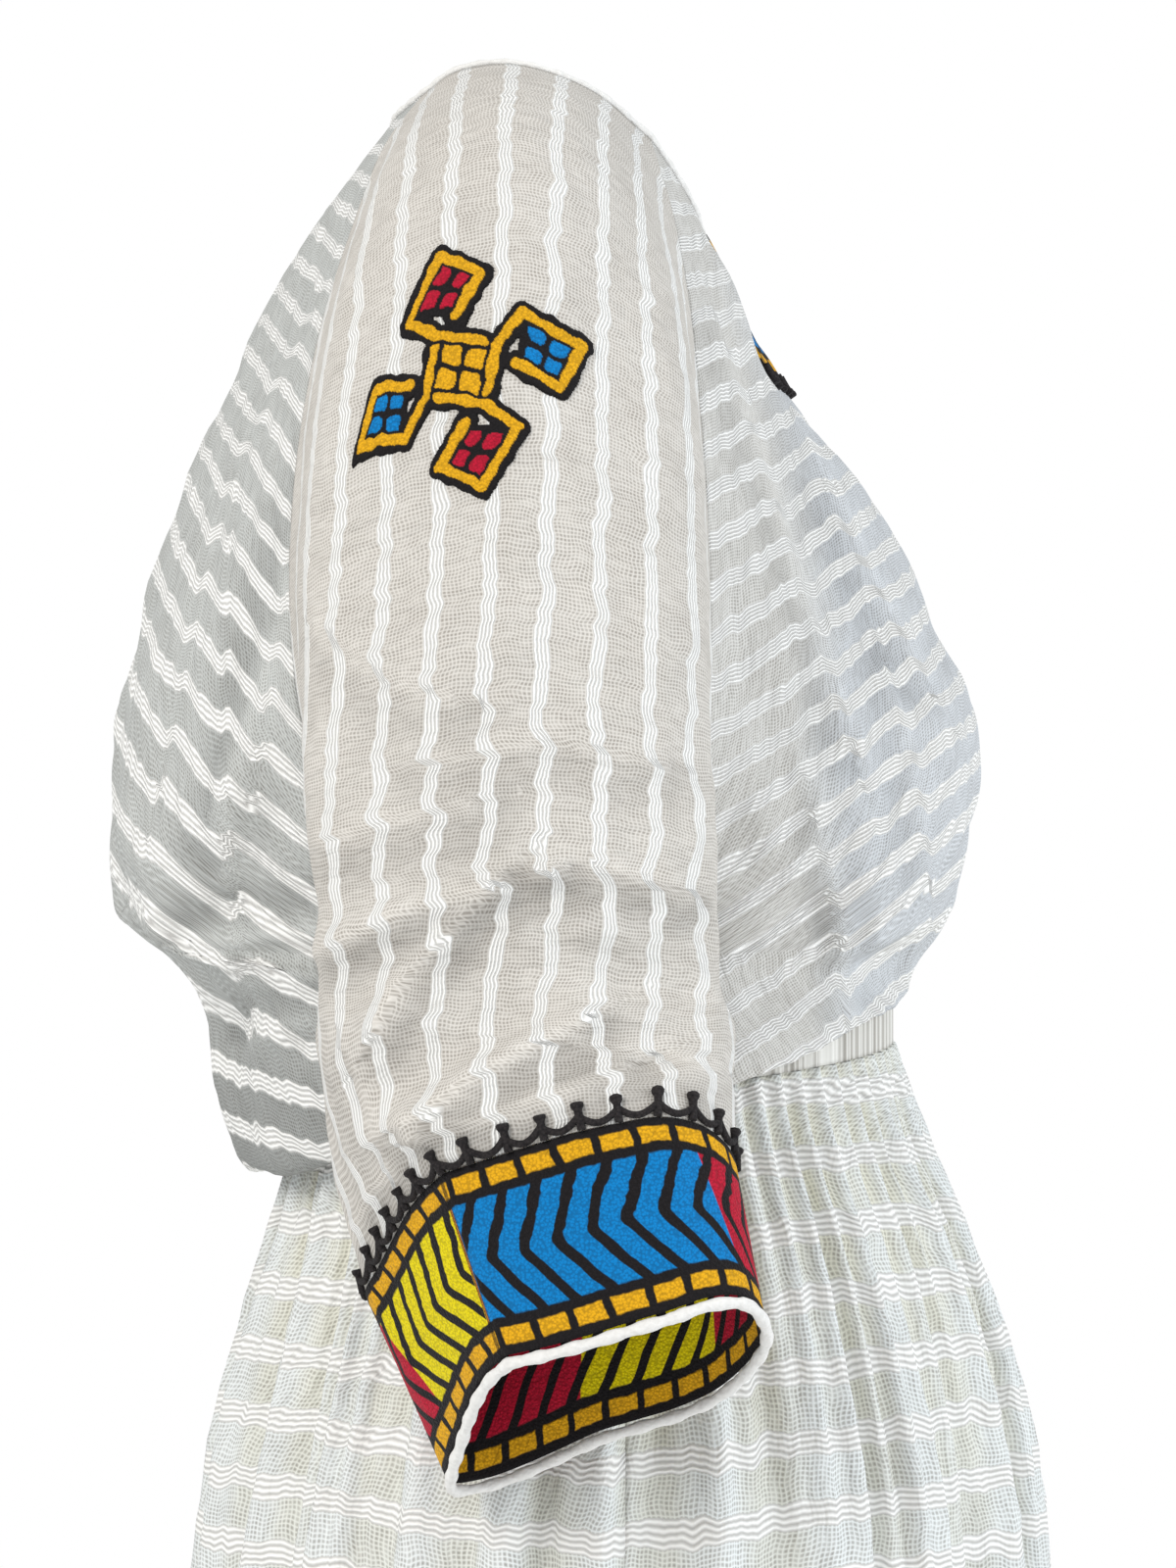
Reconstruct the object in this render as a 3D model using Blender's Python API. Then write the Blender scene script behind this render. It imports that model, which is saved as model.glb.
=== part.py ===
"""A habesha kemis: a white hand-woven cotton dress, as it hangs on a general figure.

Metres, +Z up. The wearer faces -Y and the wearer's right is -X. The origin lies between the
shoulders, at the height of the neck's base. Each cloth piece is a thin wall whose outer face is a
grid of points, worked out from the sections in the tables below. "out" is the distance from the
middle plane, so one row serves both sides.
"""

import math
from collections import defaultdict, namedtuple

import bpy
import bmesh
import numpy as np
from mathutils import Vector
from mathutils.bvhtree import BVHTree
from mathutils.geometry import delaunay_2d_cdt

WALL = 0.0012
CUFF_WALL = 0.0016
BAND_WALL = 0.0022
SEAM_GAP = 0.0003
BEND_LIMIT = 0.6

RIGHT, LEFT = -1, 1

# Columns of quads round each piece.
PANEL_COLUMNS = 32
SLEEVE_COLUMNS = 24
GATHERS = 72
SKIRT_COLUMNS = GATHERS

# The waist casing: an ellipse, tipped so that the back is lower than the front.
WAIST_Y = -0.036
WAIST_HALF_DEPTH = 0.1195
WAIST_HALF_WIDTH = 0.150
WAIST_Z = -0.413
WAIST_TIP = 0.011
BAND_HEIGHT = 0.018
BAND_GROW = 0.0010
BAND_RUFFLE = 0.0010

# Seam points where a sleeve meets the front and the back, from the neck down to the underarm.
Seam = namedtuple("Seam", "out y z")
FRONT_SEAM = [
    Seam(0.056, -0.052, -0.038),
    Seam(0.090, -0.060, -0.072),
    Seam(0.122, -0.066, -0.112),
    Seam(0.146, -0.070, -0.160),
    Seam(0.158, -0.073, -0.212),
    Seam(0.164, -0.073, -0.262),
    Seam(0.168, -0.064, -0.310),
    Seam(0.170, -0.040, -0.350),
    Seam(0.168, 0.002, -0.378),
]
BACK_SEAM = [
    Seam(0.060, 0.044, -0.020),
    Seam(0.088, 0.058, -0.045),
    Seam(0.122, 0.070, -0.085),
    Seam(0.152, 0.082, -0.135),
    Seam(0.168, 0.090, -0.195),
    Seam(0.174, 0.090, -0.255),
    Seam(0.174, 0.078, -0.310),
    Seam(0.172, 0.046, -0.350),
    Seam(0.168, 0.002, -0.378),
]
UNDERARM_ROW = len(FRONT_SEAM) - 1

# The rows between which each of these tables gets a middle row, near the underarm.
REFINE_FROM, REFINE_TO = 5, UNDERARM_ROW

# Sections of a body panel: the centre, a point half way and one near the side. The seam ends it.
Section = namedtuple("Section", "centre_y centre_z mid_out mid_y mid_z side_out side_y side_z")
FRONT_SECTIONS = [
    Section(-0.078, -0.085, 0.028, -0.073, -0.068, 0.044, -0.063, -0.052),
    Section(-0.089, -0.107, 0.034, -0.085, -0.097, 0.064, -0.076, -0.085),
    Section(-0.107, -0.134, 0.040, -0.100, -0.130, 0.078, -0.090, -0.122),
    Section(-0.130, -0.163, 0.042, -0.124, -0.163, 0.082, -0.106, -0.162),
    Section(-0.156, -0.203, 0.046, -0.149, -0.205, 0.086, -0.121, -0.208),
    Section(-0.179, -0.243, 0.052, -0.168, -0.247, 0.096, -0.136, -0.253),
    Section(-0.194, -0.287, 0.058, -0.183, -0.290, 0.106, -0.150, -0.298),
    Section(-0.191, -0.330, 0.060, -0.181, -0.335, 0.114, -0.147, -0.341),
    Section(-0.181, -0.360, 0.062, -0.172, -0.366, 0.120, -0.134, -0.374),
]
BACK_SECTIONS = [
    Section(0.060, -0.028, 0.028, 0.058, -0.026, 0.046, 0.051, -0.023),
    Section(0.080, -0.054, 0.034, 0.077, -0.054, 0.064, 0.068, -0.050),
    Section(0.105, -0.090, 0.045, 0.102, -0.091, 0.088, 0.087, -0.090),
    Section(0.127, -0.137, 0.052, 0.124, -0.139, 0.106, 0.105, -0.140),
    Section(0.150, -0.188, 0.056, 0.146, -0.191, 0.116, 0.123, -0.195),
    Section(0.167, -0.242, 0.058, 0.162, -0.246, 0.120, 0.138, -0.252),
    Section(0.176, -0.296, 0.060, 0.171, -0.300, 0.122, 0.146, -0.306),
    Section(0.180, -0.336, 0.060, 0.174, -0.340, 0.122, 0.144, -0.347),
    Section(0.175, -0.360, 0.060, 0.169, -0.365, 0.122, 0.134, -0.374),
]

# The rows of a panel below the underarm: down the blouson, round its lower edge and in under it to
# the casing. Each tells how far the row lies out from the waist ellipse and below it, at the side
# seam and at the panel's centre, and how far back the side seam is there.
Lower = namedtuple("Lower", "side_back side_grow side_drop centre_grow centre_drop")
FRONT_LOWER = [
    Lower(0.033, 0.0200, -0.0220, 0.0125, -0.0190),
    Lower(0.025, 0.0205, -0.0080, 0.0085, -0.0120),
    Lower(0.014, 0.0200, 0.0080, 0.0070, -0.0080),
    Lower(0.004, 0.0160, 0.0250, 0.0058, -0.0048),
    Lower(0.0, 0.0080, 0.0170, 0.0036, -0.0034),
    Lower(0.0, 0.0040, -0.0016, 0.0020, -0.0020),
    Lower(0.0, 0.0, -SEAM_GAP, 0.0, -SEAM_GAP),
]
BACK_LOWER = [
    Lower(0.033, 0.0200, -0.0220, 0.0725, -0.0450),
    Lower(0.025, 0.0205, -0.0080, 0.0565, -0.0240),
    Lower(0.014, 0.0200, 0.0080, 0.0505, 0.0160),
    Lower(0.004, 0.0160, 0.0250, 0.0345, 0.0495),
    Lower(0.0, 0.0080, 0.0170, 0.0205, 0.0330),
    Lower(0.0, 0.0040, -0.0016, 0.0065, -0.0016),
    Lower(0.0, 0.0, -SEAM_GAP, 0.0, -SEAM_GAP),
]

# Sleeve sections from the neck to the underarm: the front corner, the outermost line, the back one.
Arc = namedtuple("Arc", "front_out front_y front_z out y z back_out back_y back_z")
SLEEVE_ARCS = [
    Arc(0.077, -0.027, -0.021, 0.086, 0.003, -0.012, 0.078, 0.028, -0.013),
    Arc(0.118, -0.034, -0.040, 0.130, 0.002, -0.026, 0.118, 0.038, -0.034),
    Arc(0.156, -0.046, -0.076, 0.174, 0.002, -0.050, 0.158, 0.050, -0.066),
    Arc(0.190, -0.056, -0.125, 0.212, 0.002, -0.098, 0.194, 0.062, -0.118),
    Arc(0.210, -0.062, -0.185, 0.235, 0.001, -0.160, 0.214, 0.070, -0.180),
    Arc(0.222, -0.066, -0.245, 0.248, 0.000, -0.225, 0.226, 0.074, -0.243),
    Arc(0.230, -0.070, -0.300, 0.257, -0.003, -0.285, 0.234, 0.076, -0.300),
    Arc(0.232, -0.073, -0.345, 0.263, -0.004, -0.335, 0.236, 0.076, -0.345),
    Arc(0.228, -0.076, -0.383, 0.268, -0.005, -0.375, 0.232, 0.077, -0.385),
]

# Closed sections of the lower sleeve and the cuff. half_long runs back to front and half_short
# from the body outwards; the front edge is lifted by rise and the outer edge by tilt, in degrees.
Ring = namedtuple("Ring", "out y z half_long half_short rise tilt bent")
SLEEVE_RINGS = [
    Ring(0.2230, -0.001, -0.402, 0.079, 0.0485, 2, 7, 0.12),
    Ring(0.2275, -0.002, -0.415, 0.079, 0.0475, 5, 11, 0.25),
    Ring(0.2325, -0.003, -0.428, 0.078, 0.0470, 8, 14, 0.42),
    Ring(0.2380, -0.005, -0.442, 0.077, 0.0475, 13, 17, 0.62),
    Ring(0.2440, -0.008, -0.457, 0.075, 0.0485, 17, 20, 0.82),
]
PLAIN_EDGE = Ring(0.250, -0.011, -0.4706, 0.0735, 0.049, 20, 23, 1.0)
RING_SQUARENESS = 2.4

# The cuff's edges, from the inner side by the front and the outer side to the ridge where the cuff
# bends, and on round the back. The sleeve's rings share in how its upper edge departs from a plain one.
Edge = namedtuple("Edge", "out y z")
CUFF_TOP = [
    Edge(0.206, -0.0120, -0.4860),
    Edge(0.222, -0.0560, -0.4720),
    Edge(0.262, -0.0795, -0.4490),
    Edge(0.290, -0.0610, -0.4290),
    Edge(0.297, -0.0280, -0.4315),
    Edge(0.291, 0.0050, -0.4415),
    Edge(0.281, 0.0265, -0.4490),
    Edge(0.262, 0.0385, -0.4620),
    Edge(0.235, 0.0505, -0.4845),
    Edge(0.206, 0.0595, -0.5065),
    Edge(0.196, 0.0360, -0.5040),
]
CUFF_BOTTOM = [
    Edge(0.214, -0.0300, -0.5540),
    Edge(0.226, -0.0710, -0.5380),
    Edge(0.260, -0.0905, -0.5110),
    Edge(0.287, -0.0790, -0.4925),
    Edge(0.297, -0.0500, -0.4985),
    Edge(0.293, -0.0170, -0.5090),
    Edge(0.285, 0.0040, -0.5150),
    Edge(0.268, 0.0140, -0.5270),
    Edge(0.240, 0.0225, -0.5500),
    Edge(0.211, 0.0270, -0.5740),
    Edge(0.203, 0.0050, -0.5710),
]
RIDGE = 6
RIDGE_COLUMN = 14
CUFF_HEIGHT = 0.070
CUFF_GAP = 0.0004

# Creases that cross the lower sleeve, each from start to middle to end in the plane seen from the
# side, with its half breadth and how far it stands out. On the body's side they all sink in.
Crease = namedtuple("Crease", "y1 z1 y2 z2 y3 z3 breadth rise")
INNER_SINK = 0.6
CREASES = [
    Crease(0.067, -0.369, 0.006, -0.345, -0.066, -0.353, 0.011, 0.0055),
    Crease(0.051, -0.406, 0.033, -0.377, 0.004, -0.363, 0.008, 0.0045),
    Crease(0.062, -0.388, 0.000, -0.372, -0.060, -0.380, 0.009, -0.0040),
    Crease(0.038, -0.438, 0.010, -0.411, -0.030, -0.392, 0.010, 0.0060),
    Crease(0.050, -0.425, 0.010, -0.395, -0.050, -0.405, 0.008, -0.0040),
    Crease(0.050, -0.440, 0.000, -0.432, -0.060, -0.425, 0.012, 0.0050),
]

# Upright folds of the blouson: how many each panel has, how far they stand, where they start.
BLOUSON_FOLDS = 7
BLOUSON_RISE = 0.0030
BLOUSON_TROUGH = -0.2
BLOUSON_FIRST_ROW = 4
LEVEL_ROWS = 4

# Skirt sections: the outline's half sizes at a height, and how deep folds and gathers run there.
Level = namedtuple("Level", "z centre_y half_depth half_width fold gather")
SKIRT_LEVELS = [
    Level(None, WAIST_Y, 0.1210, 0.1515, 0.0004, 0.0018),
    Level(-0.449, -0.0365, 0.1290, 0.1600, 0.0035, 0.0030),
    Level(-0.500, -0.0390, 0.1500, 0.1760, 0.0070, 0.0024),
    Level(-0.575, -0.0400, 0.1740, 0.1980, 0.0115, 0.0012),
    Level(-0.680, -0.0385, 0.1905, 0.2190, 0.0160, 0.0),
    Level(-0.850, -0.0390, 0.2230, 0.2510, 0.0200, 0.0),
    Level(-1.080, -0.0400, 0.2625, 0.2870, 0.0250, 0.0),
    Level(-1.340, -0.0400, 0.2940, 0.3190, 0.0300, 0.0),
]
SKIRT_FOLDS = 24

# Rolled edges of the neck and the cuffs.
NECK_ROLL_RADIUS = 0.0016
CUFF_ROLL_RADIUS = 0.0023
ROLL_CLEAR = 0.0008

# The embroidered cross on each sleeve, seen from the side: across to the wearer's front, and up.
# One arm's corners: the core's corner, then round the box at its end. The others are turned.
CROSS_Y = 0.0222
CROSS_Z = -0.1527
CROSS_ARM = [(-0.011, 0.011), (-0.025, 0.024), (-0.008, 0.051), (0.011, 0.039), (0.005, 0.019)]
# The back arm lies where the sleeve curves away, so it's drawn in and hangs lower.
CROSS_SAG = 10.4
CROSS_SQUEEZE = 3.6
CROSS_SPACING = 0.0075
CROSS_LIFT = 0.0010
CROSS_THICK = 0.0010

# The embroidered bib under the front of the neck: rows and columns of the front's own points.
BIB_ROWS = 2
BIB_HALF_COLUMNS = 5
BIB_LIFT = 0.0005
BIB_THICK = 0.0010


def clear_scene():
    for item in list(bpy.data.objects):
        bpy.data.objects.remove(item)


# Curves through table points

def through(points, count):
    """A smooth line through the points, read at count evenly spaced places between its ends."""
    points = np.array(points, float)
    ends = np.vstack([2 * points[0] - points[1], points, 2 * points[-1] - points[-2]])
    fine = []
    steps = np.linspace(0, 1, 24, endpoint=False)[:, None]
    for a, b, c, d in zip(ends, ends[1:], ends[2:], ends[3:]):
        cubic = (3 * b - a - 3 * c + d) * steps ** 3
        square = (2 * a - 5 * b + 4 * c - d) * steps ** 2
        fine.append(b + 0.5 * ((c - a) * steps + square + cubic))
    line = np.vstack(fine + [points[-1:]])
    along = np.concatenate([[0], np.cumsum(np.linalg.norm(np.diff(line, axis=0), axis=1))])
    at = np.linspace(0, along[-1], count)
    return np.stack([np.interp(at, along, line[:, k]) for k in range(3)], axis=1)


def placed(side, out, y, z):
    return (side * out, y, z)


def refined(table):
    """The table with a row put in between each two from REFINE_FROM to REFINE_TO, on a curve."""
    rows = []
    for n, row in enumerate(table):
        rows.append(row)
        if REFINE_FROM <= n < REFINE_TO:
            before, after, last = table[n - 1], table[n + 1], table[min(n + 2, len(table) - 1)]
            rows.append(type(row)(*[
                (9 * (b + c) - a - d) / 16 for a, b, c, d in zip(before, row, after, last)
            ]))
    return rows


# The waist

def waist_point(turn, grow=0.0, drop=0.0):
    """A point of the waist ellipse. turn is 0 at the wearer's right, a quarter at the front."""
    angle = 2 * math.pi * turn
    x = -(WAIST_HALF_WIDTH + grow) * math.cos(angle)
    y = WAIST_Y - (WAIST_HALF_DEPTH + grow) * math.sin(angle)
    z = WAIST_Z + WAIST_TIP * math.sin(angle) - drop
    return (x, y, z)


# The body panels

def panel_row(sections, row, seams, front):
    """The points of one section, from the wearer's right seam round to the left one."""
    part = sections[row]
    half = [
        placed(RIGHT, *seams[row]),
        placed(RIGHT, part.side_out, part.side_y, part.side_z),
        placed(RIGHT, part.mid_out, part.mid_y, part.mid_z),
    ]
    middle = [(0.0, part.centre_y, part.centre_z)]
    other = [(-x, y, z) for x, y, z in reversed(half)]
    return through(half + middle + other, PANEL_COLUMNS + 1)


def lower_row(row, front):
    """One row of a panel below the underarm."""
    line = []
    for turn in np.linspace(0, 0.5, PANEL_COLUMNS + 1):
        share = abs(math.sin(2 * math.pi * turn)) ** 1.5
        grow = row.side_grow + (row.centre_grow - row.side_grow) * share
        drop = row.side_drop + (row.centre_drop - row.side_drop) * share
        x, y, z = waist_point(turn if front else -turn, grow, drop)
        line.append((x, y + row.side_back * (1 - share), z))
    return line


def panel_grid(sections, seams, lower, front):
    sections, seams = refined(sections), refined(seams)
    rows = [panel_row(sections, row, seams, front) for row in range(len(sections))]
    return np.array(rows + [lower_row(row, front) for row in lower])


def blouson_rise(grid):
    """How far each point of a panel moves out for the upright folds."""
    rows, columns = grid.shape[:2]
    across = np.arange(columns) / (columns - 1)
    down = np.arange(rows) - BLOUSON_FIRST_ROW
    last = rows - LEVEL_ROWS - 2 - BLOUSON_FIRST_ROW
    grown = np.clip(down / last, 0, 1) ** 1.5
    grown[-LEVEL_ROWS:] = 0
    waves = np.sin(2 * math.pi * (BLOUSON_FOLDS + 0.5) * across + 0.9 * np.sin(5 * across))
    waves = np.maximum(waves, BLOUSON_TROUGH) * np.sin(math.pi * across) ** 0.5
    return BLOUSON_RISE * grown[:, None] * waves


# The sleeves and cuffs

def distance_to_line(spots, start, end):
    along = end - start
    share = np.clip(((spots - start) @ along) / (along @ along), 0, 1)
    return np.linalg.norm(spots - start - share[..., None] * along, axis=-1)


def crease_rise(grid):
    """How far each point of a sleeve moves out for the creases above the cuff."""
    spots = grid[..., 1:]
    rise = np.zeros(grid.shape[:2])
    for crease in CREASES:
        a, b, c = (np.array(crease[k: k + 2]) for k in (0, 2, 4))
        apart = np.minimum(distance_to_line(spots, a, b), distance_to_line(spots, b, c))
        rise += crease.rise * np.exp(-((apart / crease.breadth) ** 2))
    rows, columns = rise.shape
    outside = 0.5 - 0.5 * np.cos(2 * math.pi * np.arange(columns) / (columns - 1))
    rise = rise * outside - INNER_SINK * abs(rise) * (1 - outside)
    underarm = len(refined(FRONT_SEAM)) - 1
    rise[:underarm + 1] *= np.sin(math.pi * np.arange(columns) / (columns - 1)) ** 0.5
    rise[-1] = 0
    return rise


def squared(value):
    return math.copysign(abs(value) ** (2 / RING_SQUARENESS), value)


def ring_points(ring, side, columns):
    """A closed section, from the inner side by the front, the outer side and the back."""
    rise, tilt = math.radians(ring.rise), math.radians(ring.tilt)
    centre = np.array([ring.out, ring.y, ring.z])
    forward = np.array([0.0, -math.cos(rise), math.sin(rise)])
    outward = np.array([math.cos(tilt), 0.0, math.sin(tilt)])
    points = []
    for step in range(columns + 1):
        angle = 2 * math.pi * step / columns
        long = ring.half_long * squared(math.sin(angle))
        short = ring.half_short * squared(math.cos(angle))
        points.append(centre + forward * long - outward * short)
    points[-1] = points[0]
    points = through(points, columns + 1)
    points[-1] = points[0]
    points[:, 0] *= side
    return points


def edge_points(edge, side):
    """A closed line through a cuff edge's points, with a sharp bend and a column on the ridge."""
    spots = [placed(side, *spot) for spot in edge]
    before = through(spots[:RIDGE + 1], RIDGE_COLUMN + 1)
    after = through(spots[RIDGE:] + spots[:1], SLEEVE_COLUMNS - RIDGE_COLUMN + 1)
    return np.vstack([before[:-1], after])


def sleeve_grid(side):
    """Open rows from the neck to the underarm, then closed ones whose ends meet."""
    rows = []
    for arc, front, back in zip(refined(SLEEVE_ARCS), refined(FRONT_SEAM), refined(BACK_SEAM)):
        stations = [
            placed(side, *front),
            placed(side, arc.front_out, arc.front_y, arc.front_z),
            placed(side, arc.out, arc.y, arc.z),
            placed(side, arc.back_out, arc.back_y, arc.back_z),
            placed(side, *back),
        ]
        rows.append(through(stations, SLEEVE_COLUMNS + 1))
    edge = edge_points(CUFF_TOP, side)
    departure = edge - ring_points(PLAIN_EDGE, side, SLEEVE_COLUMNS)
    for ring in SLEEVE_RINGS:
        rows.append(ring_points(ring, side, SLEEVE_COLUMNS) + ring.bent * departure)
    return np.array(rows + [edge])


def cuff_grid(side):
    top, bottom = edge_points(CUFF_TOP, side), edge_points(CUFF_BOTTOM, side)
    return np.array([top + (bottom - top) * share for share in (CUFF_GAP / CUFF_HEIGHT, 0.5, 1.0)])


# The skirt

def fold_wave(turn):
    """The folds round the skirt, 0 in a trough and 1 on a crest, uneven in width and depth."""
    angle = 2 * math.pi * turn
    warped = angle + 0.06 * math.sin(3 * angle + 0.8) + 0.035 * math.sin(7 * angle + 2.1)
    depth = 0.78 + 0.22 * math.sin(5 * angle + 1.3)
    return 1 - depth * (0.5 - 0.5 * math.cos(SKIRT_FOLDS * warped))


def skirt_point(level, turn, column):
    angle = 2 * math.pi * turn
    gather = level.gather * (1 if column % 2 else -1)
    inset = level.fold * (1 - fold_wave(turn)) - gather
    x = -(level.half_width - inset) * math.cos(angle)
    y = level.centre_y - (level.half_depth - inset) * math.sin(angle)
    if level.z is None:
        z = WAIST_Z + WAIST_TIP * math.sin(angle) - BAND_HEIGHT - SEAM_GAP
    else:
        z = level.z
    return (x, y, z)


def skirt_grid(front):
    start = 0 if front else SKIRT_COLUMNS
    rows = []
    for level in SKIRT_LEVELS:
        row = []
        for column in range(start, start + SKIRT_COLUMNS + 1):
            row.append(skirt_point(level, column / (2 * SKIRT_COLUMNS), column))
        rows.append(row)
    return np.array(rows)


def band_grid():
    columns = 2 * SKIRT_COLUMNS
    rows = []
    for drop in (0.0, BAND_HEIGHT):
        row = []
        for column in range(columns + 1):
            ruffle = BAND_RUFFLE * (1 if column % 2 else -1)
            row.append(waist_point(column / columns, BAND_GROW + ruffle, drop))
        rows.append(row)
    return np.array(rows)


# Solids

def material(name, colour, roughness, metallic=0.0):
    made = bpy.data.materials.new(name)
    made.use_nodes = True
    shader = made.node_tree.nodes["Principled BSDF"]
    shader.inputs["Base Color"].default_value = (*colour, 1.0)
    shader.inputs["Roughness"].default_value = roughness
    shader.inputs["Metallic"].default_value = metallic
    return made


def new_object(name, mesh, finish):
    made = bpy.data.objects.new(name, mesh)
    bpy.context.scene.collection.objects.link(made)
    mesh.materials.append(finish)
    return made


def key(point):
    return tuple(np.round(point, 6) + 0.0)


def joined_normals(grids):
    """For each (grid, sign), its outward normals, smooth across seams that two grids share.

    At a sharp bend a normal is longer, so that a wall set back along it keeps its thickness.
    """
    total = defaultdict(lambda: np.zeros(4))
    for grid, sign in grids:
        a, b, c, d = grid[:-1, :-1], grid[:-1, 1:], grid[1:, 1:], grid[1:, :-1]
        faces = sign * np.cross(d - b, c - a)
        faces /= np.linalg.norm(faces, axis=2, keepdims=True)
        for corner in (a, b, c, d):
            for point, normal in zip(corner.reshape(-1, 3), faces.reshape(-1, 3)):
                total[key(point)] += (*normal, 1.0)
    found = []
    for grid, _ in grids:
        sums = np.array([[total[key(point)] for point in row] for row in grid])
        mean = sums[..., :3] / sums[..., 3:]
        length = np.linalg.norm(mean, axis=2, keepdims=True)
        found.append(mean / length / np.maximum(length, BEND_LIMIT))
    return found


def drawn_in(grid, first, last):
    """The grid with both side edges drawn in by half of a seam's gap, from row first to last."""
    grid = grid.copy()
    for row in grid[first:last]:
        for end, inner in ((0, 1), (-1, -2)):
            step = row[inner] - row[end]
            row[end] += step * (SEAM_GAP / 2 / np.linalg.norm(step))
    return grid


def shell(name, outer, inner, sign, finish):
    """A closed thin solid between two grids of points. Ends of rows that meet are joined."""
    shape = bmesh.new()
    known = {}

    def corner(face, row, column):
        place = key((outer if face == 0 else inner)[row, column])
        if (face, place) not in known:
            known[(face, place)] = shape.verts.new(place)
        return known[(face, place)]

    edges = []
    rows, columns = outer.shape[:2]
    for r in range(rows - 1):
        for c in range(columns - 1):
            around = [(r, c), (r + 1, c), (r + 1, c + 1), (r, c + 1)][::sign]
            shape.faces.new([corner(0, *spot) for spot in around])
            shape.faces.new([corner(1, *spot) for spot in around[:1] + around[:0:-1]])
            for start, end in zip(around, around[1:] + around[:1]):
                edges.append((corner(0, *start), corner(0, *end), corner(1, *end), corner(1, *start)))
    meeting = {(ends[1], ends[0]) for ends in edges}
    for start, end, end_in, start_in in edges:
        if (start, end) in meeting:
            continue
        # The rims of two pieces that meet at a seam are split along the same diagonal.
        if start.co.z > end.co.z:
            shape.faces.new((end, start, end_in))
            shape.faces.new((start, start_in, end_in))
        else:
            shape.faces.new((end, start, start_in))
            shape.faces.new((end, start_in, end_in))
    mesh = bpy.data.meshes.new(name)
    shape.to_mesh(mesh)
    shape.free()
    mesh.shade_smooth()
    return new_object(name, mesh, finish)


def wall(name, grid, sign, thickness, finish):
    """A piece on its own, with its wall behind the grid."""
    normals = joined_normals([(grid, sign)])[0]
    return shell(name, grid, grid - normals * thickness, sign, finish)


def roll(name, line, radius, finish):
    """A closed round cord along a line, which stands for a rolled edge."""
    curve = bpy.data.curves.new(name, "CURVE")
    curve.dimensions = "3D"
    curve.bevel_depth = radius
    curve.bevel_resolution = 1
    spline = curve.splines.new("POLY")
    spline.points.add(len(line) - 1)
    for point, place in zip(spline.points, line):
        point.co = (*place, 1.0)
    spline.use_cyclic_u = True
    return new_object(name, curve, finish)


# The embroidered cross

def turned(points, degrees):
    c, s = math.cos(math.radians(degrees)), math.sin(math.radians(degrees))
    return [(c * p - s * q, s * p + c * q) for p, q in points]


def draped(point):
    p, q = point
    back = min(p, 0.0)
    return (p + CROSS_SQUEEZE * back * back, q - CROSS_SAG * back * back)


def cross_outline():
    """One closed outline of the four arms."""
    outline = []
    for step in range(4):
        outline += turned(CROSS_ARM, -90 * step)
    return [draped(point) for point in outline]


def cross_mesh_points():
    """The outline with its inside filled by an even grid, as flat points and triangles."""
    outline = [Vector(p) for p in cross_outline()]
    border = []
    for start, end in zip(outline, outline[1:] + outline[:1]):
        pieces = max(1, round((end - start).length / CROSS_SPACING))
        border += [start.lerp(end, k / pieces) for k in range(pieces)]
    edges = [(k, (k + 1) % len(border)) for k in range(len(border))]
    reach = max(max(spot) for spot in outline)
    ticks = np.arange(-reach, reach, CROSS_SPACING)
    inside = []
    for p in ticks:
        for q in ticks:
            spot = Vector((p, q))
            if min((spot - b).length for b in border) > 0.55 * CROSS_SPACING:
                inside.append(spot)
    points, _, faces, *_ = delaunay_2d_cdt(border + inside, edges, [list(range(len(border)))], 1, 1e-6)
    used = sorted({k for face in faces for k in face})
    index = {k: n for n, k in enumerate(used)}
    return [points[k] for k in used], [[index[k] for k in face] for face in faces]


def cross_on(name, sleeve, side, finish):
    """The cross laid on a sleeve: its flat points sent across to the cloth, then moved out."""
    graph = bpy.context.evaluated_depsgraph_get()
    cloth = BVHTree.FromObject(sleeve, graph)
    flat, faces = cross_mesh_points()
    shape = bmesh.new()
    top, under = [], []
    for p, q in flat:
        start = Vector((side * 0.5, CROSS_Y - p, CROSS_Z + q))
        place, normal, _, _ = cloth.ray_cast(start, Vector((-side, 0, 0)))
        under.append(shape.verts.new(place + normal * CROSS_LIFT))
        top.append(shape.verts.new(place + normal * (CROSS_LIFT + CROSS_THICK)))
    rim = {}
    for face in faces:
        shape.faces.new([top[k] for k in face])
        shape.faces.new([under[k] for k in reversed(face)])
        for a, b in zip(face, face[1:] + face[:1]):
            rim[(a, b)] = (b, a) not in rim
            if (b, a) in rim:
                rim[(b, a)] = False
    for (a, b), open_edge in rim.items():
        if open_edge:
            shape.faces.new([top[b], top[a], under[a], under[b]])
    bmesh.ops.recalc_face_normals(shape, faces=shape.faces)
    mesh = bpy.data.meshes.new(name)
    shape.to_mesh(mesh)
    shape.free()
    return new_object(name, mesh, finish)


# The whole dress

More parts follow.
